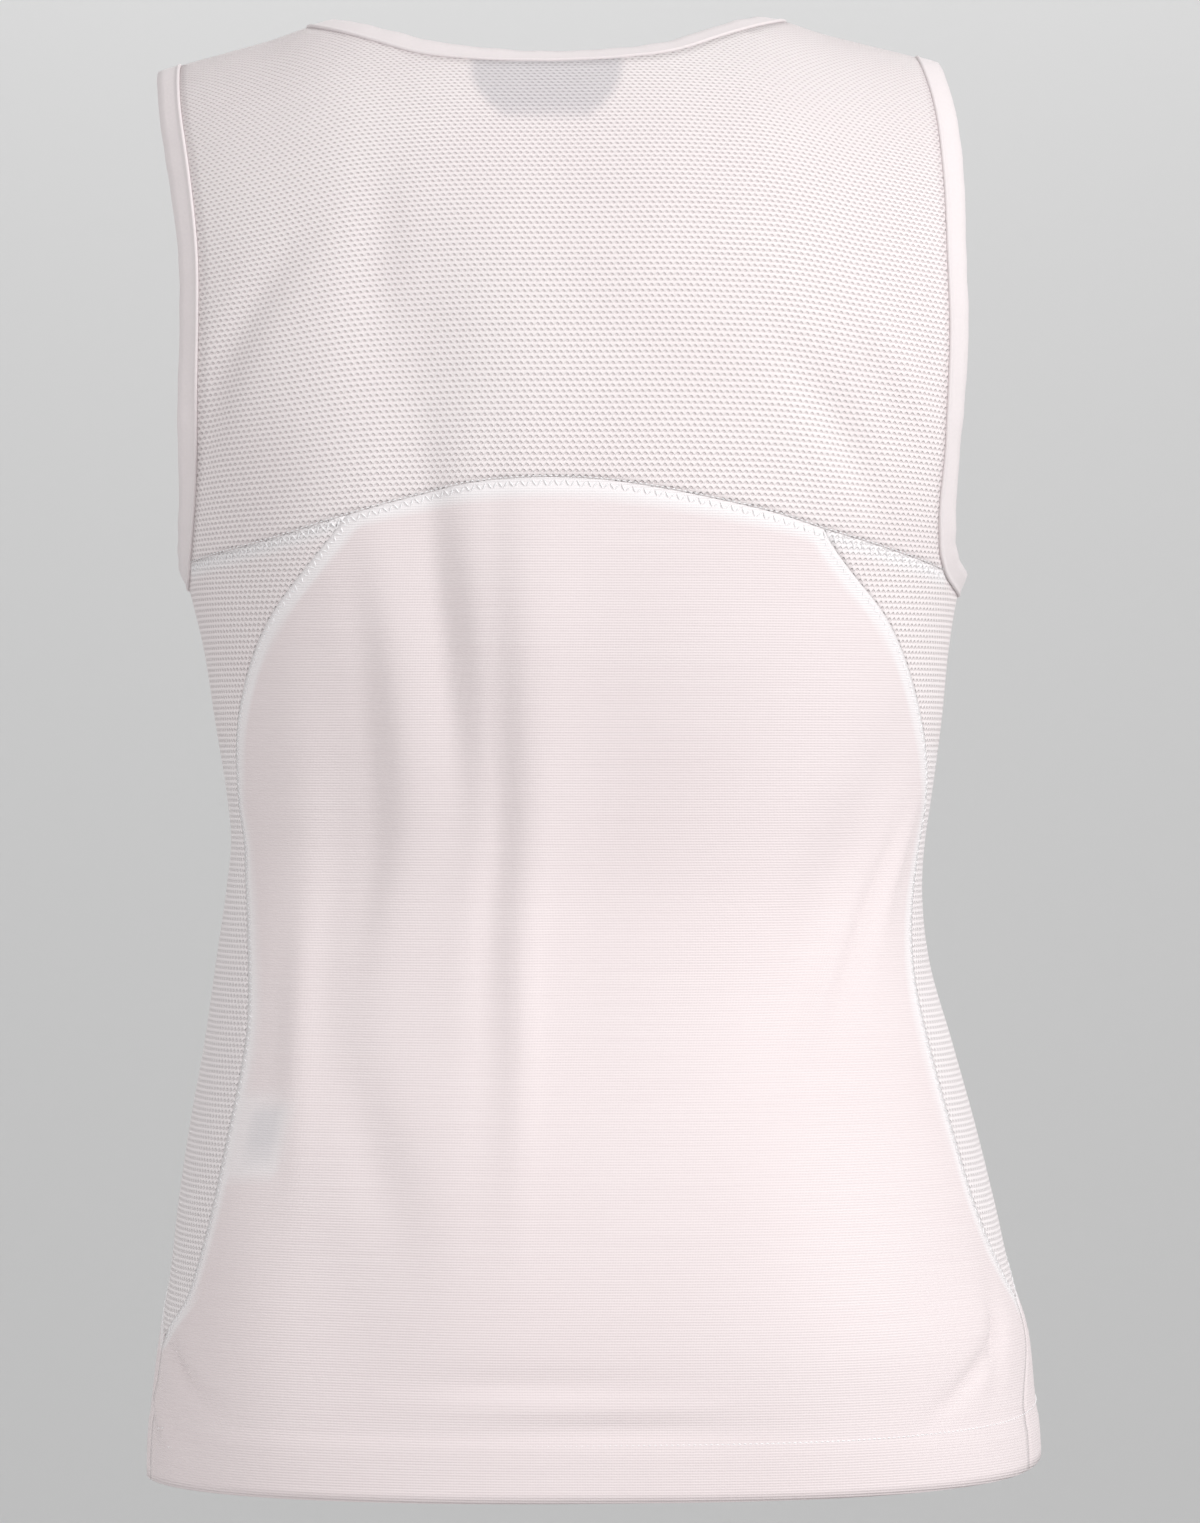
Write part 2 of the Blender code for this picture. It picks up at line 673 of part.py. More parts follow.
def draw_in(bm, amount):
    """Moves the open edge of a sheet inward along the sheet."""
    bm.normal_update()
    aims = {}
    for edge in bm.edges:
        if not edge.is_boundary:
            continue
        face = edge.link_faces[0]
        ends = [vert.co for vert in edge.verts]
        aim = face.normal.cross(ends[1] - ends[0]).normalized()
        if aim.dot(face.calc_center_median() - ends[0]) < 0:
            aim.negate()
        for vert in edge.verts:
            aims.setdefault(vert, []).append(aim)
    for vert, (first, second) in aims.items():
        middle = (first + second).normalized()
        vert.co += middle * amount / max(middle.dot(first), SHARPEST)


def finish(name, bm, color):
    mesh = bpy.data.meshes.new(name)
    bm.to_mesh(mesh)
    bm.free()
    obj = bpy.data.objects.new(name, mesh)
    PARTS.objects.link(obj)
    material = bpy.data.materials.new(name)
    material.use_nodes = True
    shader = material.node_tree.nodes["Principled BSDF"]
    shader.inputs["Base Color"].default_value = (*COLORS[color], 1.0)
    shader.inputs["Roughness"].default_value = 0.85
    material.diffuse_color = (*COLORS[color], 1.0)
    mesh.materials.append(material)
    return obj


def tube_object(name, points):
    """A closed strip, welded where its grid meets itself."""
    bm = bmesh.new()
    grid_mesh(points, bm)
    bmesh.ops.remove_doubles(bm, verts=bm.verts, dist=WELD)
    bmesh.ops.recalc_face_normals(bm, faces=bm.faces)
    finish(name, bm, "trim")


def sheet_object(name, grids, wall, color, thick_rows=0):
    """A sheet through joined grids, thickened outward; the first grid's first rows may be thicker."""
    bm = bmesh.new()
    mark = bm.verts.layers.int.new("thick")
    order = [grid_mesh(points, bm) for points in grids][0]
    for vert in order[:thick_rows * grids[0].shape[1]]:
        vert[mark] = 1
    bmesh.ops.remove_doubles(bm, verts=bm.verts, dist=WELD)
    draw_in(bm, 0.5 * SEAM_GAP)
    bm.verts.index_update()
    thick = [vert.index for vert in bm.verts if vert[mark]]
    obj = finish(name, bm, color)
    shell = obj.modifiers.new("wall", "SOLIDIFY")
    shell.thickness = wall
    shell.offset = 1.0
    if thick:
        group = obj.vertex_groups.new(name="wall")
        group.add(range(len(obj.data.vertices)), WALL / HEM_WALL, "REPLACE")
        group.add(thick, 1.0, "REPLACE")
        shell.vertex_group = group.name
        shell.thickness = HEM_WALL


def between(grid, row, column):
    """Values of a grid between its rows and columns, which are numbered from 0."""
    i = np.clip(np.floor(row).astype(int), 0, grid.shape[0] - 2)
    j = np.clip(np.floor(column).astype(int), 0, grid.shape[1] - 2)
    s = (row - i)[..., None]
    t = (column - j)[..., None]
    low = grid[i, j] * (1 - t) + grid[i, j + 1] * t
    high = grid[i + 1, j] * (1 - t) + grid[i + 1, j + 1] * t
    return low * (1 - s) + high * s


def label_object(name, panel, row, column, color):
    """A flat label just inside a panel, laid parallel to the panel's own faces."""
    points = between(panel, row, column)
    normals = unit(between(outward(panel), row, column))
    sheet_object(name, [points - (LABEL_GAP + LABEL_WALL) * normals], LABEL_WALL, color)


def neck_label(panel):
    """Half-moon under the neck binding, straight at the top and rounded below."""
    rise = np.linspace(0.0, 1.0, LABEL_ROWS + 1)[:, None]
    side = np.linspace(-1.0, 1.0, LABEL_COLUMNS + 1)[None, :]
    half = NECK_LABEL["half_top"] * (NECK_LABEL["bottom"] + (1 - NECK_LABEL["bottom"]) * np.sin(rise * np.pi / 2))
    column = NECK_LABEL["middle"] + half * side
    row = NECK_LABEL["low"] + (NECK_LABEL["high"] - NECK_LABEL["low"]) * rise + 0.0 * side
    label_object("neck_label", panel, row, column, "neck_label")


def care_label(panel):
    rise = np.linspace(0.0, 1.0, LABEL_ROWS + 1)[:, None]
    side = np.linspace(0.0, 1.0, LABEL_ROWS + 1)[None, :]
    column = CARE_LABEL["start"] + (CARE_LABEL["end"] - CARE_LABEL["start"]) * side + 0.0 * rise
    row = CARE_LABEL["low"] + (CARE_LABEL["high"] - CARE_LABEL["low"]) * rise + 0.0 * side
    label_object("care_label", panel, row, column, "care_label")


def neck_lean(pairs):
    return along(NECK_LEAN, 1, pairs[:, 0])


def armhole_lean(pairs):
    return -along(ARMHOLE_FLARE, 1, height_of(pairs[:, 0], pairs[:, 1]))


def clear():
    for obj in list(bpy.data.objects):
        bpy.data.objects.remove(obj, do_unlink=True)


clear()
PARTS = bpy.data.collections.new("running_singlet")
bpy.context.scene.collection.children.link(PARTS)

YOKE = [surface(grid) for grid in yoke_grids()]
BACK_PANEL = back_panel_points()
sheet_object("back_yoke", YOKE, WALL, "mesh")
sheet_object("back_panel", [BACK_PANEL], WALL, "knit", HEM_INSET_ROWS)
sheet_object("front_panel", front_panel_points(), WALL, "knit", HEM_INSET_ROWS)
sheet_object("side_panel_left", [side_panel_points(LEFT)], WALL, "mesh")
sheet_object("side_panel_right", [side_panel_points(RIGHT)], WALL, "mesh")
NECK_RUNS = neck_parts(BACK) + tuple(run[::-1] for run in neck_parts(FRONT)[::-1])
binding("neck_binding", NECK_RUNS, neck_lean)
binding("armhole_binding_left", armhole_parts(LEFT), armhole_lean)
binding("armhole_binding_right", armhole_parts(RIGHT), armhole_lean)
neck_label(YOKE[0])
care_label(BACK_PANEL)
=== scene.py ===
"""Looks of the running singlet: thin draped cloth, bindings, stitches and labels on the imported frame.

Metres, +Z up, in the frame's own axes. The cloth lies on the same form as the solids: a surface of
two coordinates, the turn about the body in degrees (0 at centre back, 90 at the right side) and
the lift, which is the height up to the armholes and follows the arch over the shoulders above.
"""

import math

import bmesh
import bpy
import numpy as np
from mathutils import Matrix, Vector
from mathutils.kdtree import KDTree


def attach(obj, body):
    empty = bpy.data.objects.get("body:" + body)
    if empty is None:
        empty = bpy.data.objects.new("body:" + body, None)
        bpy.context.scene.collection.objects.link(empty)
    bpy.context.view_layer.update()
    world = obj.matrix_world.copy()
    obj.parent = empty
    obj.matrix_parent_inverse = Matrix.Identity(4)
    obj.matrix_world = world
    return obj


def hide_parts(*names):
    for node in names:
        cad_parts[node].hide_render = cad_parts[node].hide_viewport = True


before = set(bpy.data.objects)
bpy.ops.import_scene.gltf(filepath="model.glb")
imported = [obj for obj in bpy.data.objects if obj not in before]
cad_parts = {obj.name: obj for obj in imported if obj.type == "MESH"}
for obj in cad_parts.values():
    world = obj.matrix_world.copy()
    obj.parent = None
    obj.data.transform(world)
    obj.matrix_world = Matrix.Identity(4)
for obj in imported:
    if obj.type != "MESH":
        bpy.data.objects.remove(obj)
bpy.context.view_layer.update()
RNG = np.random.default_rng(7)
FINE = 5      # cloth grid steps for each step of the solids' grids

# camera level with the middle of the back, then the stage and lights
CAMERA_DISTANCE = 2.6
CAMERA_X = 0.0108
CAMERA_HEIGHT = -0.3068
VIEW_HEIGHT = 0.6549
FLOOR_HEIGHT = -1.6
STAGE_SIZE = 20.0
WALL_PLACE = (0.0, 4.2, -0.3)
BODY_MIDDLE = (0.0, 0.0, -0.3)
KEY_WATTS = 57.0
FILL_WATTS = 20.0
WASH_WATTS = 70.0
WORLD_STRENGTH = 0.56
BACKDROP_COLOR = (0.63, 0.63, 0.63, 1.0)

# cloth
CLOTH_WALL = 0.0009
HEM_EASE = 0.0015         # height in which the step at the turn-up fades
HEM_STEP = 0.0005
HEM_TOP = -0.5855
BINDING_LIFT = 0.0006     # middle of the fold above the inner face
BINDING_FLAT = 0.003      # past this width the faces ripple
# outline of the fold: distance from the seam, height
BINDING_SECTION = (
    (0.0003, -0.0005),
    (0.0010, -0.0009),
    (0.0050, -0.0009),
    (0.0095, -0.0009),
    (0.0105, -0.0004),
    (0.0107, 0.0002),
    (0.0102, 0.0009),
    (0.0070, 0.0011),
    (0.0030, 0.0010),
    (0.0016, 0.0010),
    (0.0011, 0.0014),
    (0.0004, 0.0013),
    (0.0001, 0.0006),
)
MESH_PITCH = (0.0027, 0.0023)
RIB_PITCH = 0.0011
STITCH_PITCH = 0.0023
STITCH_RISE = 0.00015
# stitch rows: place beside the seam, half length, radius, slant in degrees
LADDER = (-0.0022, 0.0017, 0.00034, 58.0)
EDGE_ROW = (0.0006, 0.0010, 0.00030, 0.0)
SIDE_LADDER = (0.0020, 0.0015, 0.00030, 58.0)
HEM_ROW = (0.0, 0.0010, 0.00034, 0.0)
ALLOWANCE_DEPTH = 0.0005
YOKE_ALLOWANCE = (0.002, -0.006)
SIDE_ALLOWANCE = (-0.002, 0.005)
HEM_ROWS_UP = (("low", 0.0165), ("high", 0.0235))
FINE_WEAVE_TOP = -0.300
LABEL_WALL = 0.0004
LABEL_DEPTH = 0.0010
LABEL_GRAIN = 900.0
LABEL_STEPS = 9
BAND_WIDTH = 0.0062      # seam allowance that shows paler through the cloth
BAND_EDGE = 0.0022
NECK_TAG = {"middle": -0.0115, "half": 0.0315, "top": -0.0165, "drop": 0.0215, "taper": 0.42}
CARE_TAG = {"left": -0.1475, "slant": 0.2000, "low": -0.4810, "high": -0.4480, "width": 0.0240}

# colours
MESH_COLOR = (0.93, 0.86, 0.86, 1.0)
MESH_COLOR_LOW = (0.90, 0.82, 0.825, 1.0)
# painted highlight on the raised threads of the mesh
MESH_THREAD_HIGHLIGHT = (0.95, 0.90, 0.90, 1.0)
# painted shade in the holes of the mesh, where the shaded inside would show through
MESH_HOLE_SHADE = (0.58, 0.48, 0.49, 1.0)
KNIT_COLOR = (0.87, 0.78, 0.785, 1.0)
KNIT_COLOR_LOW = (0.85, 0.755, 0.76, 1.0)
KNIT_COURSE = (0.80, 0.70, 0.71, 1.0)
PALE = (0.93, 0.90, 0.91, 1.0)
LABEL_SHADE = (0.35, 0.37, 0.42, 1.0)
TRIM_COLOR = (0.83, 0.765, 0.77, 1.0)
THREAD_COLOR = (0.97, 0.96, 0.97, 1.0)
NECK_LABEL_COLOR = (0.30, 0.32, 0.37, 1.0)
CARE_LABEL_COLOR = (0.80, 0.79, 0.80, 1.0)

# steps along the cloth grids
DENSE = 700              # points on a seam before it is divided evenly
BASE_EASE = 1.7          # crowds those points towards the base of an armhole
SHOULDER_STEPS = 3 * FINE
NECK_STEPS = 16 * FINE
YOKE_ROWS = 11 * FINE
YOKE_STRAP_ROWS = 3 * FINE
FRONT_STRAP_ROWS = 4 * FINE
HEM_RISES = (0.0, 0.004, 0.008, 0.012, 0.016, 0.020, 0.0240, 0.0255)
LOWER_ROWS = 2 * FINE
BODY_ROWS = 13 * FINE
ARMHOLE_ROWS = 8 * FINE
BACK_COLUMNS = 16 * FINE
SIDE_YOKE_STEPS = 3 * FINE
SIDE_BACK_STEPS = 3 * FINE
SIDE_FRONT_STEPS = 4 * FINE
HEM_POINTS = 700
ARC_STEPS = 20
TIP_BLEND = 0.006        # height in which a seam is eased into its end points
PROBE_TURN = 0.05
PROBE_LIFT = 0.0002
WELD = 0.00001

# the worn form
SQUARENESS = 2.35        # of each level section; 2 is an ellipse
ARCH_POWER = 2.5         # of the arch over the shoulders; 2 is an ellipse
ARCH_BASE = -0.235       # height where the arch starts
ARCH_RISE = 0.250        # from there to the shoulder line
SHOULDER_HALF = 0.190    # half width of the form at the shoulder line
SHOULDER_TILT = 0.012    # the right shoulder is the higher one, rise per metre of width

# level sections: height, reach to the left, to the right, to the back, to the front
SECTIONS = (
    (-0.620, 0.1822, 0.1985, 0.1250, 0.1060),
    (-0.600, 0.1820, 0.1985, 0.1250, 0.1060),
    (-0.575, 0.1800, 0.1962, 0.1245, 0.1060),
    (-0.547, 0.1763, 0.1928, 0.1235, 0.1060),
    (-0.530, 0.1732, 0.1872, 0.1220, 0.1050),
    (-0.495, 0.1690, 0.1790, 0.1170, 0.1030),
    (-0.461, 0.1640, 0.1705, 0.1100, 0.1000),
    (-0.427, 0.1580, 0.1610, 0.1020, 0.0960),
    (-0.392, 0.1530, 0.1512, 0.0960, 0.0930),
    (-0.358, 0.1482, 0.1482, 0.0940, 0.0915),
    (-0.340, 0.1465, 0.1495, 0.0955, 0.0920),
    (-0.323, 0.1482, 0.1520, 0.0980, 0.0940),
    (-0.289, 0.1535, 0.1565, 0.1040, 0.1000),
    (-0.255, 0.1590, 0.1600, 0.1100, 0.1070),
    (-0.237, 0.1634, 0.1630, 0.1120, 0.1100),
    (-0.200, 0.1735, 0.1730, 0.1145, 0.1125),
    (-0.160, 0.1850, 0.1845, 0.1150, 0.1120),
    (-0.120, 0.1925, 0.1925, 0.1150, 0.1100),
    (-0.060, 0.1970, 0.1890, 0.1150, 0.1070),
    (0.000, 0.2020, 0.1780, 0.1150, 0.1050),
    (0.020, 0.2020, 0.1780, 0.1150, 0.1050),
)
LEFT, RIGHT, BACK, FRONT = 1, 2, 3, 4

# shoulder line: distance out from the middle, height
RIDGE = (
    (0.000, 0.0145),
    (0.060, 0.0140),
    (0.090, 0.0112),
    (0.103, 0.0078),
    (0.116, 0.0034),
    (0.135, -0.0016),
    (0.156, -0.0070),
    (0.190, -0.0200),
)
NECK_HALF = 0.103        # half width of the neck opening at the shoulder line
STRAP_INNER = {BACK: 0.084, FRONT: 0.082}   # distance out where the neck curve turns up the strap
# neck seams: distance out from the middle, height at the back, height at the front
NECK = (
    (0.000, -0.0142, -0.1150),
    (0.030, -0.0130, -0.1090),
    (0.055, -0.0095, -0.0920),
    (0.075, -0.0025, -0.0660),
    (0.090, 0.0028, -0.0340),
    (0.098, 0.0056, -0.0120),
    (0.103, 0.0078, 0.0078),
)

# armhole seams: height, then distance out: back left, back right, front left, front right
ARMHOLE = (
    (-0.2380, 0.1665, 0.1660, 0.1665, 0.1660),
    (-0.2350, 0.1650, 0.1620, 0.1650, 0.1620),
    (-0.2305, 0.1632, 0.1575, 0.1632, 0.1575),
    (-0.2215, 0.1616, 0.1534, 0.1550, 0.1530),
    (-0.2090, 0.1600, 0.1522, 0.1500, 0.1490),
    (-0.1710, 0.1585, 0.1545, 0.1440, 0.1440),
    (-0.1250, 0.1565, 0.1563, 0.1420, 0.1420),
    (-0.0940, 0.1570, 0.1555, 0.1430, 0.1420),
    (-0.0600, 0.1610, 0.1545, 0.1480, 0.1430),
    (-0.0266, 0.1665, 0.1510, 0.1580, 0.1450),
    (0.0000, 0.1690, 0.1440, 0.1680, 0.1440),
)

# arched seam under the yoke: place across (left is negative), height
YOKE_SEAM = (
    (-0.175, -0.2265),
    (-0.159, -0.2220),
    (-0.125, -0.2140),
    (-0.095, -0.2050),
    (-0.066, -0.1970),
    (-0.045, -0.1925),
    (-0.020, -0.1902),
    (0.012, -0.1910),
    (0.035, -0.1942),
    (0.060, -0.1990),
    (0.085, -0.2048),
    (0.103, -0.2105),
    (0.123, -0.2160),
    (0.143, -0.2220),
    (0.163, -0.2290),
    (0.175, -0.2330),
)
PANEL_CORNER = {LEFT: -0.095, RIGHT: 0.103}   # across, where yoke, back panel and side panel meet

# side panel seams: height, then turn from centre back: left, right, and from centre front: left, right
SIDE_SEAMS = (
    (-0.550, 74.0, 80.5, 104.5, 106.0),
    (-0.535, 66.0, 77.5, 95.0, 101.0),
    (-0.520, 63.0, 71.5, 86.5, 92.0),
    (-0.500, 60.2, 66.5, 77.5, 81.5),
    (-0.470, 58.2, 64.0, 68.0, 70.5),
    (-0.440, 57.0, 63.3, 62.5, 64.5),
    (-0.415, 57.0, 64.0, 61.0, 63.0),
    (-0.395, 58.7, 66.0, 61.5, 64.5),
    (-0.373, 61.8, 69.0, 63.5, 66.5),
    (-0.350, 66.0, 72.8, 65.5, 68.5),
    (-0.325, 69.0, 74.6, 67.0, 70.0),
    (-0.306, 66.5, 70.0, 67.0, 69.0),
    (-0.290, 62.8, 65.0, 65.5, 67.0),
    (-0.277, 59.0, 60.8, 63.8, 65.0),
    (-0.260, 53.5, 55.0, 61.0, 62.0),
    (-0.245, 47.7, 49.2, 58.5, 59.0),
    (-0.230, 41.2, 42.2, 56.0, 56.5),
    (-0.205, 31.0, 32.0, 52.0, 52.5),
)
FRONT_CORNER_HEIGHT = -0.205   # where front panel and side panel meet at the armhole
POINT_HEIGHT = {LEFT: -0.5500, RIGHT: -0.5350}   # lower tip of each side panel
TIP_TURN = 0.8                 # half width of the tip, degrees
TIP_DROP = 0.005               # height in which the seams close below the tip
# seam between back and front below the side panels: height, turn from centre back: left, right
LOWER_SEAM = (
    (-0.615, 75.0, 66.0),
    (-0.590, 75.5, 67.5),
    (-0.570, 76.0, 71.0),
    (-0.552, 75.5, 76.0),
    (-0.530, 74.5, 79.0),
)
# bottom edge: turn, height
HEM = (
    (-180.0, -0.6100),
    (-90.0, -0.6115),
    (0.0, -0.6105),
    (60.0, -0.6075),
    (90.0, -0.6025),
    (120.0, -0.6065),
    (180.0, -0.6100),
    (270.0, -0.6115),
)

# soft folds: turn, height, half width deg, half length, slant deg per m, size outward
FOLDS = (
    (-9.0, -0.340, 9.0, 0.130, 20.0, 0.0045),
    (-21.0, -0.255, 7.0, 0.075, -30.0, -0.0054),
    (-38.0, -0.320, 8.0, 0.080, 30.0, -0.0054),
    (-20.0, -0.140, 8.0, 0.055, 10.0, -0.0045),
    (44.0, -0.365, 9.0, 0.060, 160.0, -0.0054),
    (30.0, -0.540, 14.0, 0.050, 40.0, 0.0036),
    (-35.0, -0.520, 12.0, 0.060, -60.0, -0.0045),
    (150.0, -0.300, 10.0, 0.100, -40.0, -0.0054),
    (205.0, -0.330, 11.0, 0.110, 30.0, -0.0054),
    (180.0, -0.480, 14.0, 0.080, 10.0, 0.0045),
    # smaller ones
    (-12.0, -0.330, 2.6, 0.110, 12.0, -0.0029),
    (-7.5, -0.410, 2.0, 0.070, 18.0, 0.0019),
    (-19.0, -0.250, 2.4, 0.060, -10.0, -0.0024),
    (-33.0, -0.300, 3.0, 0.070, 12.0, -0.0029),
    (-44.0, -0.420, 3.4, 0.060, -30.0, 0.0024),
    (-52.0, -0.165, 3.2, 0.030, 240.0, -0.0029),
    (-42.0, -0.120, 3.0, 0.028, 260.0, -0.0024),
    (-24.0, -0.095, 3.0, 0.040, 30.0, -0.0024),
    (37.0, -0.175, 3.0, 0.032, -250.0, -0.0029),
    (45.0, -0.150, 2.6, 0.028, -260.0, 0.0022),
    (53.0, -0.370, 2.8, 0.034, 260.0, -0.0034),
    (43.0, -0.395, 2.6, 0.030, 280.0, 0.0024),
    (61.0, -0.350, 2.4, 0.026, 220.0, 0.0022),
    (55.0, -0.560, 2.2, 0.016, 500.0, -0.0029),
    (62.0, -0.548, 1.8, 0.020, 120.0, -0.0029),
    (-64.0, -0.562, 2.4, 0.012, -700.0, -0.0029),
    (-70.0, -0.585, 2.0, 0.010, -600.0, 0.0024),
    (-30.0, -0.470, 5.0, 0.040, -120.0, -0.0024),
    (-3.0, -0.572, 16.0, 0.0045, 0.0, 0.0014),
    (6.0, -0.580, 12.0, 0.004, 0.0, -0.0014),
    (-8.0, -0.562, 14.0, 0.005, 0.0, -0.0012),
    (162.0, -0.270, 3.4, 0.060, -60.0, -0.0029),
    (196.0, -0.300, 3.2, 0.070, 50.0, -0.0029),
    (176.0, -0.420, 3.0, 0.060, 40.0, -0.0024),
    (140.0, -0.430, 3.4, 0.040, -160.0, 0.0026),
    (222.0, -0.420, 3.2, 0.036, 180.0, -0.0026),
    (128.0, -0.330, 2.8, 0.030, 220.0, -0.0029),
    (232.0, -0.345, 2.8, 0.030, -220.0, -0.0029),
    (95.0, -0.330, 4.0, 0.030, 60.0, -0.0029),
    (-97.0, -0.340, 4.0, 0.032, -60.0, -0.0029),
    (188.0, -0.150, 3.0, 0.040, 30.0, -0.0024),
    (170.0, -0.165, 3.0, 0.035, -30.0, 0.0019),
)


# neck binding: turn from centre back, degrees it leans in towards the body
NECK_LEAN = (
    (-90.0, 0.0),
    (-32.0, 2.0),
    (-12.0, 12.0),
    (0.0, 22.0),
    (12.0, 20.0),
    (32.0, 8.0),
    (90.0, 0.0),
)
# armhole bindings: height, degrees they stand away from the body
ARMHOLE_FLARE = (
    (-0.240, 9.0),
    (-0.220, 8.0),
    (-0.190, 3.0),
    (-0.150, 0.0),
    (0.000, 0.0),
)


LIFT_TOP = ARCH_BASE + ARCH_RISE * np.pi / 2


def along(rows, column, at):
    """Smooth value of one table column at the given first-column places."""
    xs = np.array([row[0] for row in rows])
    ys = np.array([row[column] for row in rows])
    slopes = np.gradient(ys, xs)
    at = np.clip(np.asarray(at, dtype=float), xs[0], xs[-1])
    i = np.clip(np.searchsorted(xs, at) - 1, 0, len(xs) - 2)
    span = xs[i + 1] - xs[i]
    t = (at - xs[i]) / span
    rise = ys[i + 1] - ys[i]
    bend = slopes[i] * span * t * (1 - t) ** 2 - slopes[i + 1] * span * t ** 2 * (1 - t)
    return ys[i] + rise * t * t * (3 - 2 * t) + bend


def squared(angle, power):
    """Sine-like and cosine-like parts of a squared circle at an angle in radians."""
    s = np.sin(angle)
    c = np.cos(angle)
    size = (np.abs(s) ** power + np.abs(c) ** power) ** (-1.0 / power)
    return size * s, size * c


def turn_at(across):
    """Turn on the back half at which a fraction of the half width is reached."""
    across = np.clip(across, -1.0, 1.0)
    deep = (1.0 - np.abs(across) ** SQUARENESS) ** (1.0 / SQUARENESS)
    return np.degrees(np.arctan2(across, deep))


def centre(height):
    return 0.5 * (along(SECTIONS, RIGHT, height) - along(SECTIONS, LEFT, height))


def half_width(height):
    return 0.5 * (along(SECTIONS, RIGHT, height) + along(SECTIONS, LEFT, height))


def ridge_height(turn):
    reach = SHOULDER_HALF * squared(np.radians(turn), SQUARENESS)[0]
    return along(RIDGE, 1, np.abs(reach)) + SHOULDER_TILT * reach


def arch(lift):
    """Height and depth fractions of the arch over the shoulder."""
    angle = np.clip((lift - ARCH_BASE) / ARCH_RISE, 0.0, np.pi / 2)
    return squared(angle, ARCH_POWER)


def height_of(turn, lift):
    over = ARCH_BASE + (ridge_height(turn) - ARCH_BASE) * arch(lift)[0]
    return np.where(lift > ARCH_BASE, over, lift)


def lift_of(turn, height):
    """Lift that gives a height at a turn."""
    up = np.clip((height - ARCH_BASE) / (ridge_height(turn) - ARCH_BASE), 0.0, 1.0)
    deep = (1.0 - up ** ARCH_POWER) ** (1.0 / ARCH_POWER)
    over = ARCH_BASE + ARCH_RISE * np.arctan2(up, deep)
    return np.where(height > ARCH_BASE, over, height)


def drape(turn, height):
    """Outward size of the soft folds."""
    total = 0.0 * turn * height
    for at_turn, at_height, wide, long, slant, size in FOLDS:
        rise = height - at_height
        side = (turn - at_turn - slant * rise + 180.0) % 360.0 - 180.0
        total = total + size * np.exp(-(side / wide) ** 2 - (rise / long) ** 2)
    return total


def surface(pairs):
    """Points of the garment's inner face for pairs of turn and lift."""
    turn = pairs[..., 0]
    height = height_of(turn, pairs[..., 1])
    across, deep = squared(np.radians(turn), SQUARENESS)
    closing = arch(pairs[..., 1])[1]
    reach = np.where(deep > 0, along(SECTIONS, BACK, height), along(SECTIONS, FRONT, height))
    out = drape(turn, height) * closing / np.hypot(across, deep)
    x = centre(height) + half_width(height) * across + out * across
    y = -reach * deep * closing - out * deep
    return np.stack([x, y, height], axis=-1)


def pairs_of(turn, lift):
    return np.stack(np.broadcast_arrays(np.asarray(turn, float), np.asarray(lift, float)), axis=-1)


def place(across, height):
    """Pairs of turn and lift of points on the back half given by x and height."""
    turn = turn_at((across - centre(height)) / half_width(height))
    return pairs_of(turn, lift_of(turn, height))


def sign_of(side):
    return 1.0 if side == RIGHT else -1.0


def on_side(side, face, turn):
    """Turn from centre back, given a turn from the centre of one face towards one side."""
    return sign_of(side) * (turn if face == BACK else 180.0 - turn)


def armhole_reach(side, face, height):
    column = {(BACK, LEFT): 1, (BACK, RIGHT): 2, (FRONT, LEFT): 3, (FRONT, RIGHT): 4}[face, side]
    return along(ARMHOLE, column, height)


def armhole_base(side):
    """Height at which the armhole seam passes under the arm."""
    low, high = ARMHOLE[0][0], ARMHOLE[3][0]
    for _ in range(40):
        middle = 0.5 * (low + high)
        room = half_width(middle) + sign_of(side) * centre(middle)
        if armhole_reach(side, BACK, middle) >= room:
            low = middle
        else:
            high = middle
    return middle


def armhole(side, face, low):
    """Armhole seam from a low height up to the shoulder line, on one face."""
    ease = np.linspace(0.0, 1.0, DENSE) ** BASE_EASE
    turn = np.full(DENSE, 60.0)
    for _ in range(12):
        low_lift = lift_of(sign_of(side) * turn[0], np.array(low))
        lift = low_lift + (LIFT_TOP - low_lift) * ease
        height = height_of(sign_of(side) * turn, lift)
        reach = armhole_reach(side, face, height) - sign_of(side) * centre(height)
        turn = turn_at(reach / half_width(height))
    return pairs_of(on_side(side, face, turn), lift)


def yoke_end(side):
    """Height at which the yoke seam meets the armhole seam."""
    height = YOKE_SEAM[0][1]
    for _ in range(20):
        reach = sign_of(side) * armhole_reach(side, BACK, height)
        height = float(along(YOKE_SEAM, 1, reach))
    return height


def yoke_seam(start, end):
    across = np.linspace(start, end, DENSE)
    return place(across, along(YOKE_SEAM, 1, across))


def yoke_end_across(side):
    return sign_of(side) * float(armhole_reach(side, BACK, yoke_end(side)))


def neck_seam(face, start, end):
    """Neck seam on one face between two places across, which grow to the right."""
    ends = np.arcsin(np.clip(np.array([start, end]) / NECK_HALF, -1.0, 1.0))
    reach = NECK_HALF * np.sin(np.linspace(ends[0], ends[1], DENSE))
    turn = turn_at(reach / SHOULDER_HALF)
    height = along(NECK, 1 if face == BACK else 2, np.abs(reach)) + SHOULDER_TILT * reach
    lift = np.where(np.abs(reach) > NECK_HALF - WELD, LIFT_TOP, lift_of(turn, height))
    return pairs_of(turn if face == BACK else 180.0 - turn, lift)


def neck_parts(face):
    """Neck seam from left to right in three runs: strap, middle, strap."""
    inner = STRAP_INNER[face]
    rows = YOKE_STRAP_ROWS if face == BACK else FRONT_STRAP_ROWS
    return (
        steps(neck_seam(face, -NECK_HALF, -inner), rows),
        steps(neck_seam(face, -inner, inner), NECK_STEPS),
        steps(neck_seam(face, inner, NECK_HALF), rows),
    )


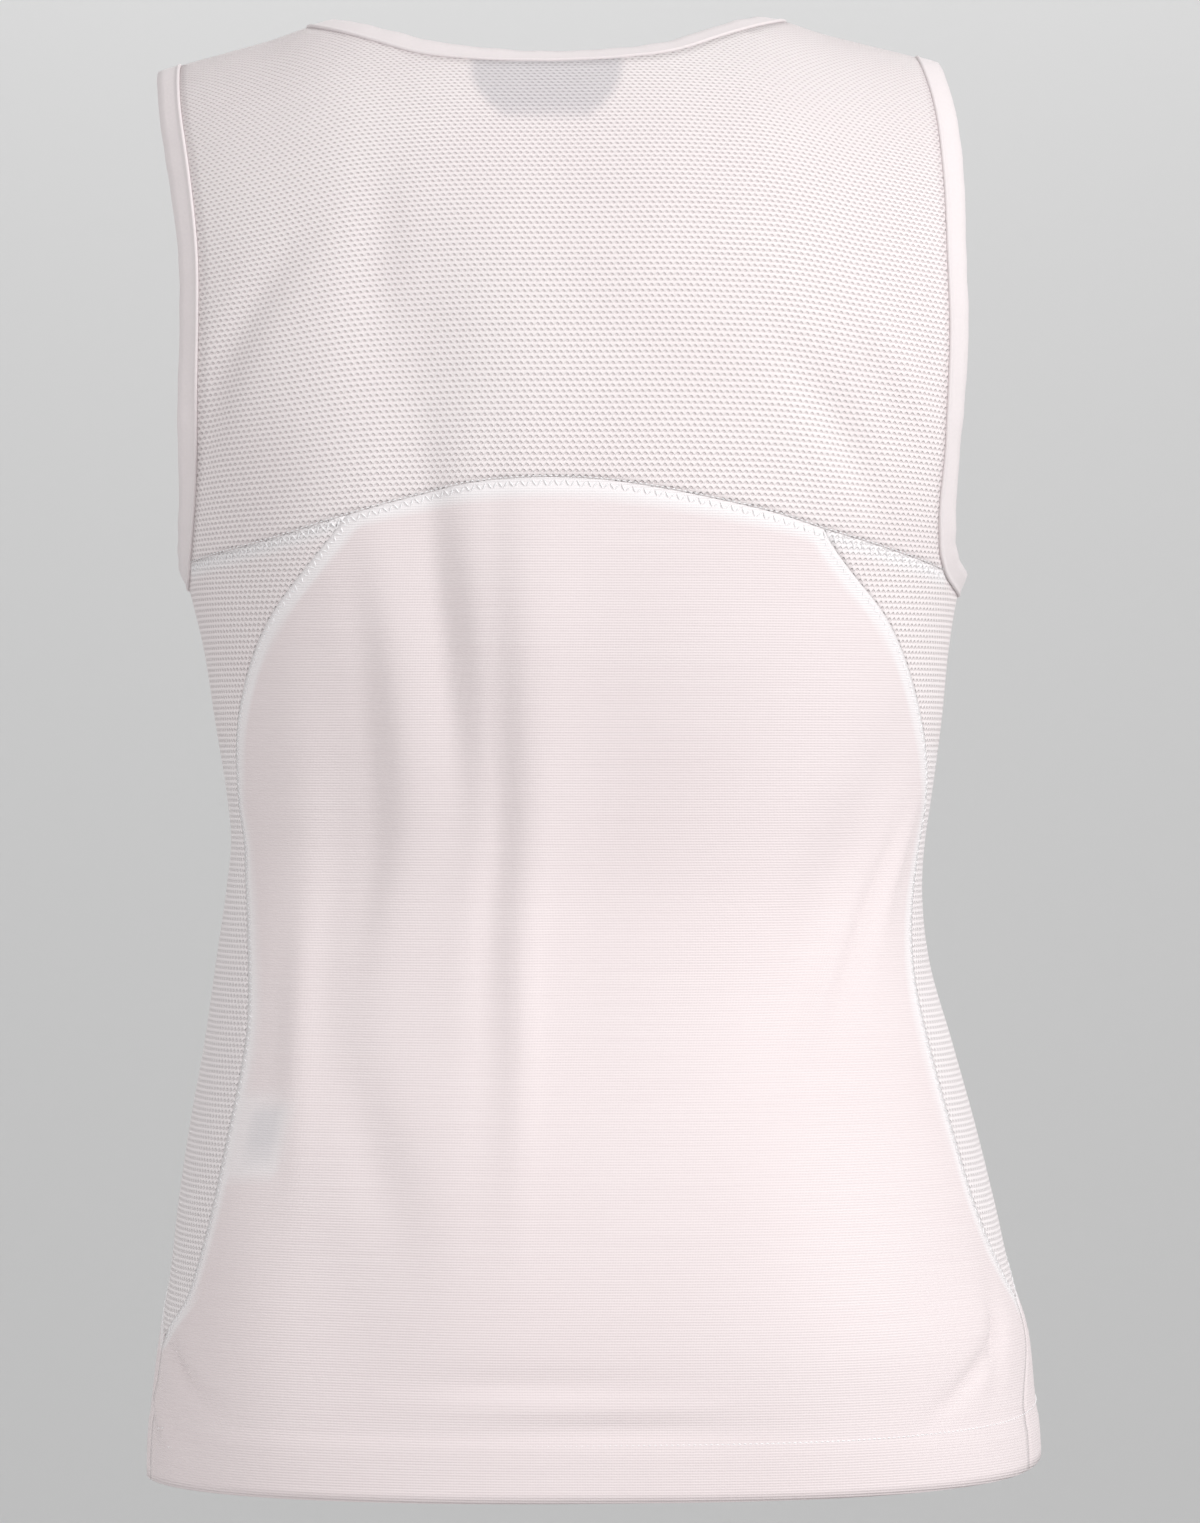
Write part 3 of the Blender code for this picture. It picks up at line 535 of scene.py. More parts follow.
def shoulder_seam(side, face):
    """Shoulder line from the armhole to the neck."""
    outer = abs(armhole(side, BACK, yoke_end(side))[-1, 0])
    inner = float(turn_at(NECK_HALF / SHOULDER_HALF))
    return pairs_of(on_side(side, face, np.linspace(outer, inner, DENSE)), LIFT_TOP)


def side_seam(side, face, top):
    """Side panel seam from its lower tip up to the pair where it ends."""
    column = {(BACK, LEFT): 1, (BACK, RIGHT): 2, (FRONT, LEFT): 3, (FRONT, RIGHT): 4}[face, side]
    ease = np.linspace(0.0, 1.0, DENSE)
    height = POINT_HEIGHT[side] + (float(height_of(*top)) - POINT_HEIGHT[side]) * ease
    turn = along(SIDE_SEAMS, column, height)
    tip = float(along(LOWER_SEAM, side, POINT_HEIGHT[side]))
    tip = tip - TIP_TURN if face == BACK else 180.0 - tip - TIP_TURN
    turn = turn + (tip - turn[0]) * np.exp(-(height - height[0]) / TIP_BLEND)
    turn = on_side(side, face, turn)
    turn = turn + (top[0] - turn[-1]) * np.exp((height - height[-1]) / TIP_BLEND)
    seam = pairs_of(turn, lift_of(turn, height))
    seam[-1] = top
    return seam


def panel_corner(side):
    across = np.array(PANEL_CORNER[side])
    return place(across, along(YOKE_SEAM, 1, across))


def front_corner(side):
    return armhole(side, FRONT, FRONT_CORNER_HEIGHT)[0]


def lower_seam(side, start, end):
    height = np.linspace(start, end, DENSE)
    return pairs_of(on_side(side, BACK, along(LOWER_SEAM, side, height)), height)


def steps(seam, count):
    """The seam at a number of even steps of its real length."""
    points = surface(seam)
    lengths = np.linalg.norm(np.diff(points, axis=0), axis=1)
    total = np.concatenate([[0.0], np.cumsum(lengths)])
    at = np.linspace(0.0, total[-1], count + 1)
    return np.stack([np.interp(at, total, seam[:, 0]), np.interp(at, total, seam[:, 1])], axis=-1)


def chain(*runs):
    """Runs of pairs joined end to start, the shared pair kept once."""
    joined = [runs[0]]
    for run in runs[1:]:
        joined.append(run[1:])
    return np.concatenate(joined)


def share(values):
    return (values - values[0]) / (values[-1] - values[0])


def fill(bottom, top, left, right):
    """Grid of pairs spanned between four edges (a Coons patch)."""
    u = np.linspace(0.0, 1.0, len(top))[None, :, None]
    t = 0.5 * (share(left[:, 1]) + share(right[:, 1]))[:, None, None]
    ruled = (1 - t) * bottom[None] + t * top[None] + (1 - u) * left[:, None] + u * right[:, None]
    low = (1 - u) * bottom[0] + u * bottom[-1]
    high = (1 - u) * top[0] + u * top[-1]
    return ruled - (1 - t) * low - t * high


def hem_line(start, end, rise, count):
    """A level line above the bottom edge between two turns."""
    turn = np.linspace(start, end, count + 1)
    return pairs_of(turn, along(HEM, 1, turn) + rise)


def hem_rows(turns, count):
    """Rows of the turn-up, from the bottom edge to its top."""
    rows = [hem_line(turns[0], turns[1], rise, count) for rise in HEM_RISES]
    return np.stack(rows)


def body_side(side, face, top):
    """One edge of a body panel from the turn-up to the top of its side seam."""
    start = float(along(HEM, 1, on_side(side, BACK, 80.0))) + HEM_RISES[-1]
    close = POINT_HEIGHT[side] - TIP_DROP
    low = steps(lower_seam(side, start, close), LOWER_ROWS)
    high = steps(side_seam(side, face, top), BODY_ROWS)
    return chain(low, np.concatenate([low[-1:], high]))


def back_yoke_seam():
    return steps(yoke_seam(PANEL_CORNER[LEFT], PANEL_CORNER[RIGHT]), BACK_COLUMNS)


def side_yoke_seam(side):
    """Yoke seam from the panel corner out to the armhole."""
    return steps(yoke_seam(PANEL_CORNER[side], yoke_end_across(side)), SIDE_YOKE_STEPS)


def armhole_parts(side):
    """The armhole seam in four runs round the opening, one for each panel edge it passes."""
    base = armhole_base(side)
    back_low = below(armhole(side, BACK, base), yoke_end(side))[::-1]
    front_low = below(armhole(side, FRONT, base), FRONT_CORNER_HEIGHT)
    return (
        steps(armhole(side, BACK, yoke_end(side))[::-1], YOKE_ROWS),
        steps(back_low, SIDE_BACK_STEPS),
        steps(front_low, SIDE_FRONT_STEPS),
        steps(armhole(side, FRONT, FRONT_CORNER_HEIGHT), ARMHOLE_ROWS),
    )


def below(seam, height):
    """The start of a rising seam, cut off at a height."""
    heights = height_of(seam[:, 0], seam[:, 1])
    end = [np.interp(height, heights, seam[:, 0]), np.interp(height, heights, seam[:, 1])]
    return np.concatenate([seam[heights < height], [end]])


def line(start, end, count):
    return start + (end - start) * np.linspace(0.0, 1.0, count + 1)[:, None]


def strap(arm, neck, shoulder):
    """Strap patch; its edges rise along the armhole and the neck, and its top is the shoulder."""
    base = line(arm[0], neck[0], SHOULDER_STEPS)
    return base, fill(base, shoulder, arm, neck)


def mirror_order(grid):
    return grid[:, ::-1]


def yoke_grids():
    """The yoke's main grid, left strap and right strap, as pairs of turn and lift."""
    split = YOKE_ROWS - YOKE_STRAP_ROWS
    arms = {side: armhole_parts(side)[0][::-1] for side in (LEFT, RIGHT)}
    neck_left, neck_middle, neck_right = neck_parts(BACK)
    shoulders = {side: steps(shoulder_seam(side, BACK), SHOULDER_STEPS) for side in (LEFT, RIGHT)}
    base_left, strap_left = strap(arms[LEFT][split:], neck_left[::-1], shoulders[LEFT])
    base_right, strap_right = strap(arms[RIGHT][split:], neck_right, shoulders[RIGHT])
    top = chain(base_left, neck_middle, base_right[::-1])
    bottom = chain(side_yoke_seam(LEFT)[::-1], back_yoke_seam(), side_yoke_seam(RIGHT))
    bottom[0], bottom[-1] = arms[LEFT][0], arms[RIGHT][0]
    main = fill(bottom, top, arms[LEFT][:split + 1], arms[RIGHT][:split + 1])
    return main, strap_left, mirror_order(strap_right)


def body_pairs(left, right, top, count):
    """A body panel's pairs from the bottom edge up."""
    rows = hem_rows((left[0, 0], right[0, 0]), count)
    bottom = rows[-1].copy()
    bottom[0], bottom[-1] = left[0], right[0]
    return np.concatenate([rows[:-1], fill(bottom, top, left, right)])


def back_panel_pairs():
    left = body_side(LEFT, BACK, panel_corner(LEFT))
    right = body_side(RIGHT, BACK, panel_corner(RIGHT))
    return body_pairs(left, right, back_yoke_seam(), BACK_COLUMNS)


def on_past_front(pairs):
    """Left pairs counted on past centre front, so that turns grow from right to left."""
    return pairs + np.array([360.0, 0.0])


def front_panel_grids():
    """The front's main grid and its right and left straps."""
    split = ARMHOLE_ROWS - FRONT_STRAP_ROWS
    arms = {RIGHT: armhole_parts(RIGHT)[3], LEFT: on_past_front(armhole_parts(LEFT)[3])}
    right = chain(body_side(RIGHT, FRONT, arms[RIGHT][0]), arms[RIGHT][:split + 1])
    left_low = on_past_front(body_side(LEFT, FRONT, front_corner(LEFT)))
    left = chain(left_low, arms[LEFT][:split + 1])
    neck_left, neck_middle, neck_right = neck_parts(FRONT)
    shoulder_right = steps(shoulder_seam(RIGHT, FRONT), SHOULDER_STEPS)
    shoulder_left = on_past_front(steps(shoulder_seam(LEFT, FRONT), SHOULDER_STEPS))
    base_right, strap_right = strap(arms[RIGHT][split:], neck_right, shoulder_right)
    base_left, strap_left = strap(arms[LEFT][split:], neck_left[::-1], shoulder_left)
    top = chain(base_right, neck_middle[::-1], base_left[::-1])
    main = body_pairs(right, left, top, 2 * SHOULDER_STEPS + NECK_STEPS)
    return main, strap_right, mirror_order(strap_left)


def side_panel_pairs(side):
    """Leaf-shaped side panel; its top edge follows the yoke seam, then the base of the armhole."""
    corner = panel_corner(side)
    meet = front_corner(side)
    back_edge = steps(side_seam(side, BACK, corner), BODY_ROWS)
    front_edge = steps(side_seam(side, FRONT, meet), BODY_ROWS)
    parts = armhole_parts(side)
    top = chain(side_yoke_seam(side), parts[1], parts[2])
    top[0], top[-1] = back_edge[-1], front_edge[-1]
    bottom = steps(np.stack([back_edge[0], front_edge[0]]), len(top) - 1)
    if side == RIGHT:
        return fill(bottom, top, back_edge, front_edge)
    return fill(bottom[::-1], top[::-1], front_edge, back_edge)


def normals_at(pairs):
    """Outward normals of the form at pairs of turn and lift."""
    aside = np.array([PROBE_TURN, 0.0])
    below = np.array([0.0, PROBE_LIFT])
    across = surface(pairs + aside) - surface(pairs - aside)
    up = surface(pairs) - surface(pairs - below)
    return unit(np.cross(across, up))


def unit(vectors):
    return vectors / np.linalg.norm(vectors, axis=-1, keepdims=True)


def arc_across(pairs, origin):
    """Length along the cloth from a turn taken as the panel's middle, at the same lift."""
    shares = np.linspace(0.0, 1.0, ARC_STEPS + 1)
    total = np.zeros(pairs.shape[:-1])
    before = None
    for portion in shares:
        probe = pairs.copy()
        probe[..., 0] = origin + (pairs[..., 0] - origin) * portion
        point = surface(probe)
        if before is not None:
            total += np.linalg.norm(point - before, axis=-1)
        before = point
    return np.sign(pairs[..., 0] - origin) * total


def soft_box(value, low, high, edge):
    """1 between two limits, 0 outside them, with soft edges."""
    rise = np.clip((value - low) / edge + 0.5, 0.0, 1.0)
    fall = np.clip((high - value) / edge + 0.5, 0.0, 1.0)
    return rise * fall


def seam_distance(points, runs):
    """Distance of points from the nearest of some seams."""
    flat = points.reshape(-1, 3)
    tree = KDTree(sum(len(run) for run in runs))
    index = 0
    for run in runs:
        for point in surface(run):
            tree.insert(Vector(point), index)
            index += 1
    tree.balance()
    found = np.array([tree.find(Vector(point))[2] for point in flat])
    return found.reshape(points.shape[:-1])


def masks_of(name, pairs, points):
    """Paler and darker places of a panel: the seam allowance inside it, and labels behind it."""
    pale = np.zeros(pairs.shape[:-1])
    if name in BAND_SEAMS:
        away = seam_distance(points, BAND_SEAMS[name])
        pale = np.clip((BAND_WIDTH - away) / BAND_EDGE + 0.5, 0.0, 1.0)
    x, z = points[..., 0], points[..., 2]
    dark = np.zeros(pairs.shape[:-1])
    if name.startswith("side_panel"):
        below = np.clip((FINE_WEAVE_TOP - z) / 0.002, 0.0, 1.0)
        pale = np.maximum(pale, 0.45 * below)
    if name == "back_yoke":
        drop = np.clip((NECK_TAG["top"] - z) / NECK_TAG["drop"], 0.0, 1.0)
        half = NECK_TAG["half"] * (1.0 - NECK_TAG["taper"] * drop ** 2)
        side = soft_box(x - NECK_TAG["middle"], -half, half, 0.004)
        dark = side * soft_box(z, NECK_TAG["top"] - NECK_TAG["drop"], 1.0, 0.005)
    if name == "back_panel":
        slant = x - CARE_TAG["left"] - CARE_TAG["slant"] * (z - CARE_TAG["low"])
        inside = soft_box(z, CARE_TAG["low"], CARE_TAG["high"], 0.003)
        pale = np.maximum(pale, 0.7 * inside * soft_box(slant, 0.0, CARE_TAG["width"], 0.003))
        print_low = CARE_TAG["low"] + 0.25 * (CARE_TAG["high"] - CARE_TAG["low"])
        faint = soft_box(slant, 0.35 * CARE_TAG["width"], 0.85 * CARE_TAG["width"], 0.005)
        dark = 0.22 * faint * soft_box(z, print_low, CARE_TAG["high"] - 0.004, 0.006)
    return pale, dark


def sheet_mesh(name, grids, origin):
    """Joined grids of pairs as one mesh, with the weave's own lengths and the masks."""
    verts, faces, uvs, pale_all, dark_all = [], [], [], [], []
    for pairs in grids:
        points = surface(pairs)
        pale, dark = masks_of(name, pairs, points)
        across = arc_across(pairs, origin)
        rows, columns = pairs.shape[:2]
        base = len(verts)
        normals = normals_at(pairs)
        hem = hem_share(points)[..., None] * HEM_STEP * normals
        verts.extend((points + hem).reshape(-1, 3).tolist())
        uvs.extend(np.stack([across, pairs[..., 1]], axis=-1).reshape(-1, 2).tolist())
        pale_all.extend(pale.ravel().tolist())
        dark_all.extend(dark.ravel().tolist())
        for row in range(rows - 1):
            for column in range(columns - 1):
                corner = base + row * columns + column
                faces.append((corner, corner + 1, corner + columns + 1, corner + columns))
    mesh = bpy.data.meshes.new(name)
    mesh.from_pydata(verts, [], faces)
    layer = mesh.uv_layers.new(name="weave")
    loops = np.zeros(len(mesh.loops), dtype=np.int32)
    mesh.loops.foreach_get("vertex_index", loops)
    layer.data.foreach_set("uv", np.array(uvs)[loops].ravel())
    for key, values in (("pale", pale_all), ("dark", dark_all)):
        attribute = mesh.attributes.new(key, "FLOAT", "POINT")
        attribute.data.foreach_set("value", values)
    bm = bmesh.new()
    bm.from_mesh(mesh)
    bmesh.ops.remove_doubles(bm, verts=bm.verts, dist=WELD)
    bm.to_mesh(mesh)
    bm.free()
    mesh.polygons.foreach_set("use_smooth", [True] * len(mesh.polygons))
    return mesh


def hem_share(points):
    """1 on the turn-up at the bottom, 0 above it."""
    return np.clip((HEM_TOP - points[..., 2]) / HEM_EASE, 0.0, 1.0)


def cloth(name, grids, origin, material):
    obj = bpy.data.objects.new(name + "_cloth", sheet_mesh(name, grids, origin))
    bpy.context.scene.collection.objects.link(obj)
    shell = obj.modifiers.new("wall", "SOLIDIFY")
    shell.thickness = CLOTH_WALL
    shell.offset = 1.0
    obj.data.materials.append(material)
    own(obj)
    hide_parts(name)
    return obj


def own(obj):
    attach(obj, "root")


def binding(name, runs, lean):
    """Folded strip along an opening, a little full and uneven, with its edge ridge at the seam."""
    pairs = np.concatenate([run[:-1] for run in runs])
    tilt = np.radians(np.concatenate([lean(run[:-1]) for run in runs]))[:, None]
    points = surface(pairs)
    normals = normals_at(pairs)
    onward = unit(np.roll(points, -1, axis=0) - np.roll(points, 1, axis=0))
    inward = unit(np.cross(normals, onward))
    if np.sum(inward * (points.mean(axis=0) - points)) < 0:
        inward = -inward
    stand = np.cos(tilt) * inward - np.sin(tilt) * normals
    face = np.cos(tilt) * normals + np.sin(tilt) * inward
    middle = points + BINDING_LIFT * normals
    length = np.concatenate([[0.0], np.cumsum(np.linalg.norm(np.diff(points, axis=0), axis=1))])
    ripple = 0.00025 * np.sin(length / 0.0031) * np.sin(length / 0.019 + 1.0)
    width = 1.0 + 0.03 * np.sin(length / 0.041) + 0.02 * np.sin(length / 0.013 + 2.0)
    rings = []
    for w, h in BINDING_SECTION:
        rings.append(middle + (w * width)[:, None] * stand + (h + ripple * (w > BINDING_FLAT))[:, None] * face)
    grid = np.stack(rings, axis=1)
    count, around = grid.shape[:2]
    faces = []
    for i in range(count):
        j = (i + 1) % count
        for k in range(around):
            m = (k + 1) % around
            faces.append((i * around + k, i * around + m, j * around + m, j * around + k))
    mesh = bpy.data.meshes.new(name)
    mesh.from_pydata(grid.reshape(-1, 3).tolist(), [], faces)
    bm = bmesh.new()
    bm.from_mesh(mesh)
    bmesh.ops.recalc_face_normals(bm, faces=bm.faces)
    bm.to_mesh(mesh)
    bm.free()
    mesh.polygons.foreach_set("use_smooth", [True] * len(mesh.polygons))
    obj = bpy.data.objects.new(name + "_cloth", mesh)
    bpy.context.scene.collection.objects.link(obj)
    obj.data.materials.append(TRIM)
    own(obj)
    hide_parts(name)


def neck_lean(pairs):
    return along(NECK_LEAN, 1, pairs[:, 0])


def armhole_lean(pairs):
    return -along(ARMHOLE_FLARE, 1, height_of(pairs[:, 0], pairs[:, 1]))


def seam_frame(pairs, middle_turn=None):
    """Points of a seam, with its outward, onward and sideways directions.

    Sideways is towards the turn of the panel's middle, or upward where none is given.
    """
    points = surface(pairs)
    run = unit(np.gradient(points, axis=0))
    aim = pairs.copy()
    if middle_turn is None:
        aim[:, 1] += 0.002
    else:
        aim[:, 0] += 0.02 * (middle_turn - aim[:, 0])
    side = surface(aim) - points
    side -= np.sum(side * run, axis=1, keepdims=True) * run
    return points, normals_at(pairs), run, unit(side)


def stitches(name, pairs, row, middle_turn=None):
    """A row of raised stitches along a seam: spindles, straight or slanting by turns."""
    aside, half, radius, angle = row
    points, normals, run, square = seam_frame(pairs, middle_turn)
    gaps = np.linalg.norm(np.diff(points, axis=0), axis=1)
    length = np.concatenate([[0.0], np.cumsum(gaps)])
    count = int(length[-1] / STITCH_PITCH)
    stops = (np.arange(count) + 0.5) * length[-1] / count

    def read(values):
        return np.stack([np.interp(stops, length, values[:, axis]) for axis in range(3)], axis=-1)
    normal, onward, across = unit(read(normals)), unit(read(run)), unit(read(square))
    slant = np.radians(angle * (-1.0) ** np.arange(count)) + RNG.uniform(-0.06, 0.06, count)
    slant = slant[:, None]
    direction = np.cos(slant) * onward + np.sin(slant) * across
    sideways = np.cross(normal, direction)
    middle = read(points) + normal * (CLOTH_WALL + STITCH_RISE) + aside * across
    corners = [middle - direction * half]
    for step in range(4):
        swing = math.pi / 2 * step
        corners.append(middle + radius * (math.cos(swing) * sideways + math.sin(swing) * normal))
    corners.append(middle + direction * half)
    verts = np.stack(corners, axis=1).reshape(-1, 3)
    faces = []
    for base in range(0, len(verts), 6):
        for step in range(4):
            other = base + 1 + (step + 1) % 4
            faces.append((base, other, base + 1 + step))
            faces.append((base + 5, base + 1 + step, other))
    return plain_piece(name, verts, faces, THREAD)


def plain_piece(name, verts, faces, material):
    """A small trim piece made straight from its corners and faces."""
    mesh = bpy.data.meshes.new(name)
    mesh.from_pydata(verts.tolist(), [], faces)
    obj = bpy.data.objects.new(name, mesh)
    bpy.context.scene.collection.objects.link(obj)
    obj.data.materials.append(material)
    own(obj)
    return obj


def allowance(name, pairs, near, far, middle_turn=None):
    """Turned seam allowance: a narrow strip just inside the cloth, behind a seam."""
    points, normals, _, across = seam_frame(pairs, middle_turn)
    inner = points - ALLOWANCE_DEPTH * normals
    verts = np.concatenate([inner + near * across, inner + far * across])
    count = len(points)
    faces = [(i, i + 1, count + i + 1, count + i) for i in range(count - 1)]
    return plain_piece(name, verts, faces, TRIM)


class Nodes:
    """Small helper that adds shader nodes and joins them."""

    def __init__(self, name):
        self.material = bpy.data.materials.new(name)
        self.material.use_nodes = True
        self.tree = self.material.node_tree
        self.shader = self.tree.nodes["Principled BSDF"]

    def put(self, target, value):
        if isinstance(value, bpy.types.NodeSocket):
            self.tree.links.new(value, target)
        else:
            target.default_value = value

    def math(self, operation, *values):
        node = self.tree.nodes.new("ShaderNodeMath")
        node.operation = operation
        for target, value in zip(node.inputs, values):
            self.put(target, value)
        return node.outputs[0]

    def smooth(self, value, low, high):
        """0 at low to 1 at high, eased at both ends."""
        node = self.tree.nodes.new("ShaderNodeMapRange")
        node.interpolation_type = "SMOOTHSTEP"
        for target, given in zip(node.inputs, (value, low, high, 0.0, 1.0)):
            self.put(target, given)
        return node.outputs[0]

    def mix(self, share, first, second):
        node = self.tree.nodes.new("ShaderNodeMix")
        node.data_type = "RGBA"
        self.put(node.inputs[0], share)
        self.put(node.inputs[6], first)
        self.put(node.inputs[7], second)
        return node.outputs[2]

    def attribute(self, name):
        node = self.tree.nodes.new("ShaderNodeAttribute")
        node.attribute_name = name
        return node.outputs["Fac"]

    def weave(self):
        node = self.tree.nodes.new("ShaderNodeUVMap")
        node.uv_map = "weave"
        split = self.tree.nodes.new("ShaderNodeSeparateXYZ")
        self.tree.links.new(node.outputs[0], split.inputs[0])
        return split.outputs[0], split.outputs[1], node.outputs[0]

    def noise(self, vector, scale, detail=2.0):
        node = self.tree.nodes.new("ShaderNodeTexNoise")
        node.inputs["Scale"].default_value = scale
        node.inputs["Detail"].default_value = detail
        self.tree.links.new(vector, node.inputs["Vector"])
        return node.outputs["Fac"]

    def bump(self, height, distance, strength):
        node = self.tree.nodes.new("ShaderNodeBump")
        node.inputs["Distance"].default_value = distance
        node.inputs["Strength"].default_value = strength
        self.tree.links.new(height, node.inputs["Height"])
        self.tree.links.new(node.outputs[0], self.shader.inputs["Normal"])

    def finish(self, color, roughness, sheen):
        self.put(self.shader.inputs["Base Color"], color)
        self.shader.inputs["Roughness"].default_value = roughness
        self.shader.inputs["Sheen Weight"].default_value = sheen
        self.shader.inputs["Specular IOR Level"].default_value = 0.25
        return self.material


def mesh_material():
    """Eyelet mesh: staggered rows of small holes between raised V-shaped threads, with painted shade in the
    holes and a painted highlight on the threads.
    """
    n = Nodes("eyelet_mesh")
    u, v, where = n.weave()
    column = n.math("DIVIDE", u, MESH_PITCH[0])
    row = n.math("DIVIDE", v, MESH_PITCH[1])
    offset = n.math("MULTIPLY", n.math("MODULO", n.math("FLOOR", n.math("ADD", row, 1000.0)), 2.0), 0.5)
    fx = n.math("SUBTRACT", n.math("FRACT", n.math("ADD", n.math("ADD", column, offset), 1000.0)), 0.5)
    fy = n.math("SUBTRACT", n.math("FRACT", n.math("ADD", row, 1000.0)), 0.5)
    reach = n.math("SQRT", n.math("ADD", n.math("MULTIPLY", fx, fx), n.math("MULTIPLY", fy, fy)))
    hole = n.smooth(reach, 0.36, 0.12)
    vee = n.math("ADD", n.math("MULTIPLY", n.math("ABSOLUTE", fx), 1.1), fy)
    thread = n.smooth(n.math("ABSOLUTE", n.math("SUBTRACT", vee, 0.42)), 0.18, 0.02)
    height = n.math("SUBTRACT", n.math("MULTIPLY", thread, 0.55), hole)
    broad = n.noise(where, 9.0)
    tone = n.mix(n.smooth(broad, 0.3, 0.7), MESH_COLOR, MESH_COLOR_LOW)
    # painted highlight: the raised threads are lightened in colour
    tone = n.mix(n.math("MULTIPLY", thread, 0.75), tone, MESH_THREAD_HIGHLIGHT)
    # painted shade: the holes are darkened in colour
    tone = n.mix(n.math("MULTIPLY", hole, 0.5), tone, MESH_HOLE_SHADE)
    tone = n.mix(n.math("MULTIPLY", n.attribute("pale"), 0.75), tone, PALE)
    tone = n.mix(n.math("MULTIPLY", n.attribute("dark"), 0.34), tone, LABEL_SHADE)
    n.bump(height, 0.0008, 0.7)
    return n.finish(tone, 0.8, 0.15)


def knit_material():
    """Plain knit: very fine level ribs, with faint uneven courses."""
    n = Nodes("ribbed_knit")
    u, v, where = n.weave()
    rib = n.math("SINE", n.math("MULTIPLY", v, 2 * math.pi / RIB_PITCH))
    loop = n.math("SINE", n.math("MULTIPLY", u, 2 * math.pi / (0.6 * RIB_PITCH)))
    course = n.tree.nodes.new("ShaderNodeMapping")
    course.inputs["Scale"].default_value = (1.0, 60.0, 1.0)
    n.tree.links.new(where, course.inputs["Vector"])
    streak = n.noise(course.outputs[0], 14.0, 3.0)
    height = n.math("ADD", n.math("MULTIPLY", rib, 0.5), n.math("MULTIPLY", loop, 0.15))
    height = n.math("ADD", height, n.math("MULTIPLY", streak, 0.8))
    broad = n.noise(where, 6.0)
    tone = n.mix(n.smooth(broad, 0.3, 0.7), KNIT_COLOR, KNIT_COLOR_LOW)
    tone = n.mix(n.math("MULTIPLY", n.smooth(streak, 0.35, 0.7), 0.25), tone, KNIT_COURSE)
    tone = n.mix(n.math("MULTIPLY", n.attribute("pale"), 0.75), tone, PALE)
    tone = n.mix(n.attribute("dark"), tone, LABEL_SHADE)
    n.bump(height, 0.0002, 0.5)
    return n.finish(tone, 0.62, 0.2)


def plain_material(name, color, roughness, sheen, scale):
    """Smooth strip or label cloth with a fine grain."""
    n = Nodes(name)
    node = n.tree.nodes.new("ShaderNodeTexCoord")
    grain = n.noise(node.outputs["Object"], scale, 3.0)
    low = tuple(0.94 * c for c in color[:3]) + (1.0,)
    n.bump(grain, 0.0002, 0.35)
    return n.finish(n.mix(grain, color, low), roughness, sheen)


def label(name, pairs, color):
    """A bare label just inside its panel."""
    points = surface(pairs) - LABEL_DEPTH * normals_at(pairs)
    rows, columns = pairs.shape[:2]
    faces = []
    for row in range(rows - 1):
        for column in range(columns - 1):
            corner = row * columns + column
            faces.append((corner, corner + 1, corner + columns + 1, corner + columns))
    mesh = bpy.data.meshes.new(name)
    mesh.from_pydata(points.reshape(-1, 3).tolist(), [], faces)
    obj = bpy.data.objects.new(name + "_cloth", mesh)
    bpy.context.scene.collection.objects.link(obj)
    shell = obj.modifiers.new("wall", "SOLIDIFY")
    shell.thickness = LABEL_WALL
    shell.offset = 1.0
    obj.data.materials.append(plain_material(name, color, 0.6, 0.1, LABEL_GRAIN))
    own(obj)
    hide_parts(name)
    return obj


def label_pairs(middle, half_low, half_high, low, high, slant):
    """Level rows of pairs across a label, straight in x and height."""
    rows = []
    for rise in np.linspace(0.0, 1.0, LABEL_STEPS):
        height = low + (high - low) * rise
        half = half_low + (half_high - half_low) * math.sin(rise * math.pi / 2)
        across = middle + slant * (height - low) + np.linspace(-half, half, LABEL_STEPS)
        rows.append(place(across, np.full(LABEL_STEPS, height)))
    return np.stack(rows)


def backdrop():
    """Pale grey wall and floor, clear of the camera's way round the object."""
    bpy.ops.mesh.primitive_plane_add(size=STAGE_SIZE, location=WALL_PLACE, rotation=(math.pi / 2, 0.0, 0.0))
    wall = bpy.context.object
    wall.name = "backdrop"
    bpy.ops.mesh.primitive_plane_add(size=STAGE_SIZE, location=(0.0, 0.0, FLOOR_HEIGHT))
    ground = bpy.context.object
    ground.name = "floor"
    paint = bpy.data.materials.new("studio_grey")
    paint.use_nodes = True
    shader = paint.node_tree.nodes["Principled BSDF"]
    shader.inputs["Base Color"].default_value = BACKDROP_COLOR
    shader.inputs["Roughness"].default_value = 1.0
    shader.inputs["Specular IOR Level"].default_value = 0.0
    for obj in (wall, ground):
        obj.data.materials.append(paint)


def area_light(name, place_at, aim, size, watts):
    light = bpy.data.lights.new(name, "AREA")
    light.shape = "RECTANGLE"
    light.size, light.size_y = size
    light.energy = watts
    obj = bpy.data.objects.new(name, light)
    obj.location = place_at
    obj.rotation_euler = (Vector(aim) - Vector(place_at)).to_track_quat("-Z", "Y").to_euler()
    bpy.context.scene.collection.objects.link(obj)


def camera():
    """Level camera behind the wearer, framed on the whole garment."""
    data = bpy.data.cameras.new("camera")
    obj = bpy.data.objects.new("camera", data)
    obj.location = (CAMERA_X, -CAMERA_DISTANCE, CAMERA_HEIGHT)
    obj.rotation_euler = (math.pi / 2, 0.0, 0.0)
    data.sensor_fit = "VERTICAL"
    data.sensor_height = 24.0
    data.lens = data.sensor_height * CAMERA_DISTANCE / VIEW_HEIGHT
    data.clip_start = 0.05
    bpy.context.scene.collection.objects.link(obj)
    bpy.context.scene.camera = obj


MESH_CLOTH = mesh_material()
KNIT_CLOTH = knit_material()
TRIM = plain_material("folded_trim", TRIM_COLOR, 0.7, 0.15, 700.0)
THREAD = plain_material("thread", THREAD_COLOR, 0.5, 0.1, 2000.0)

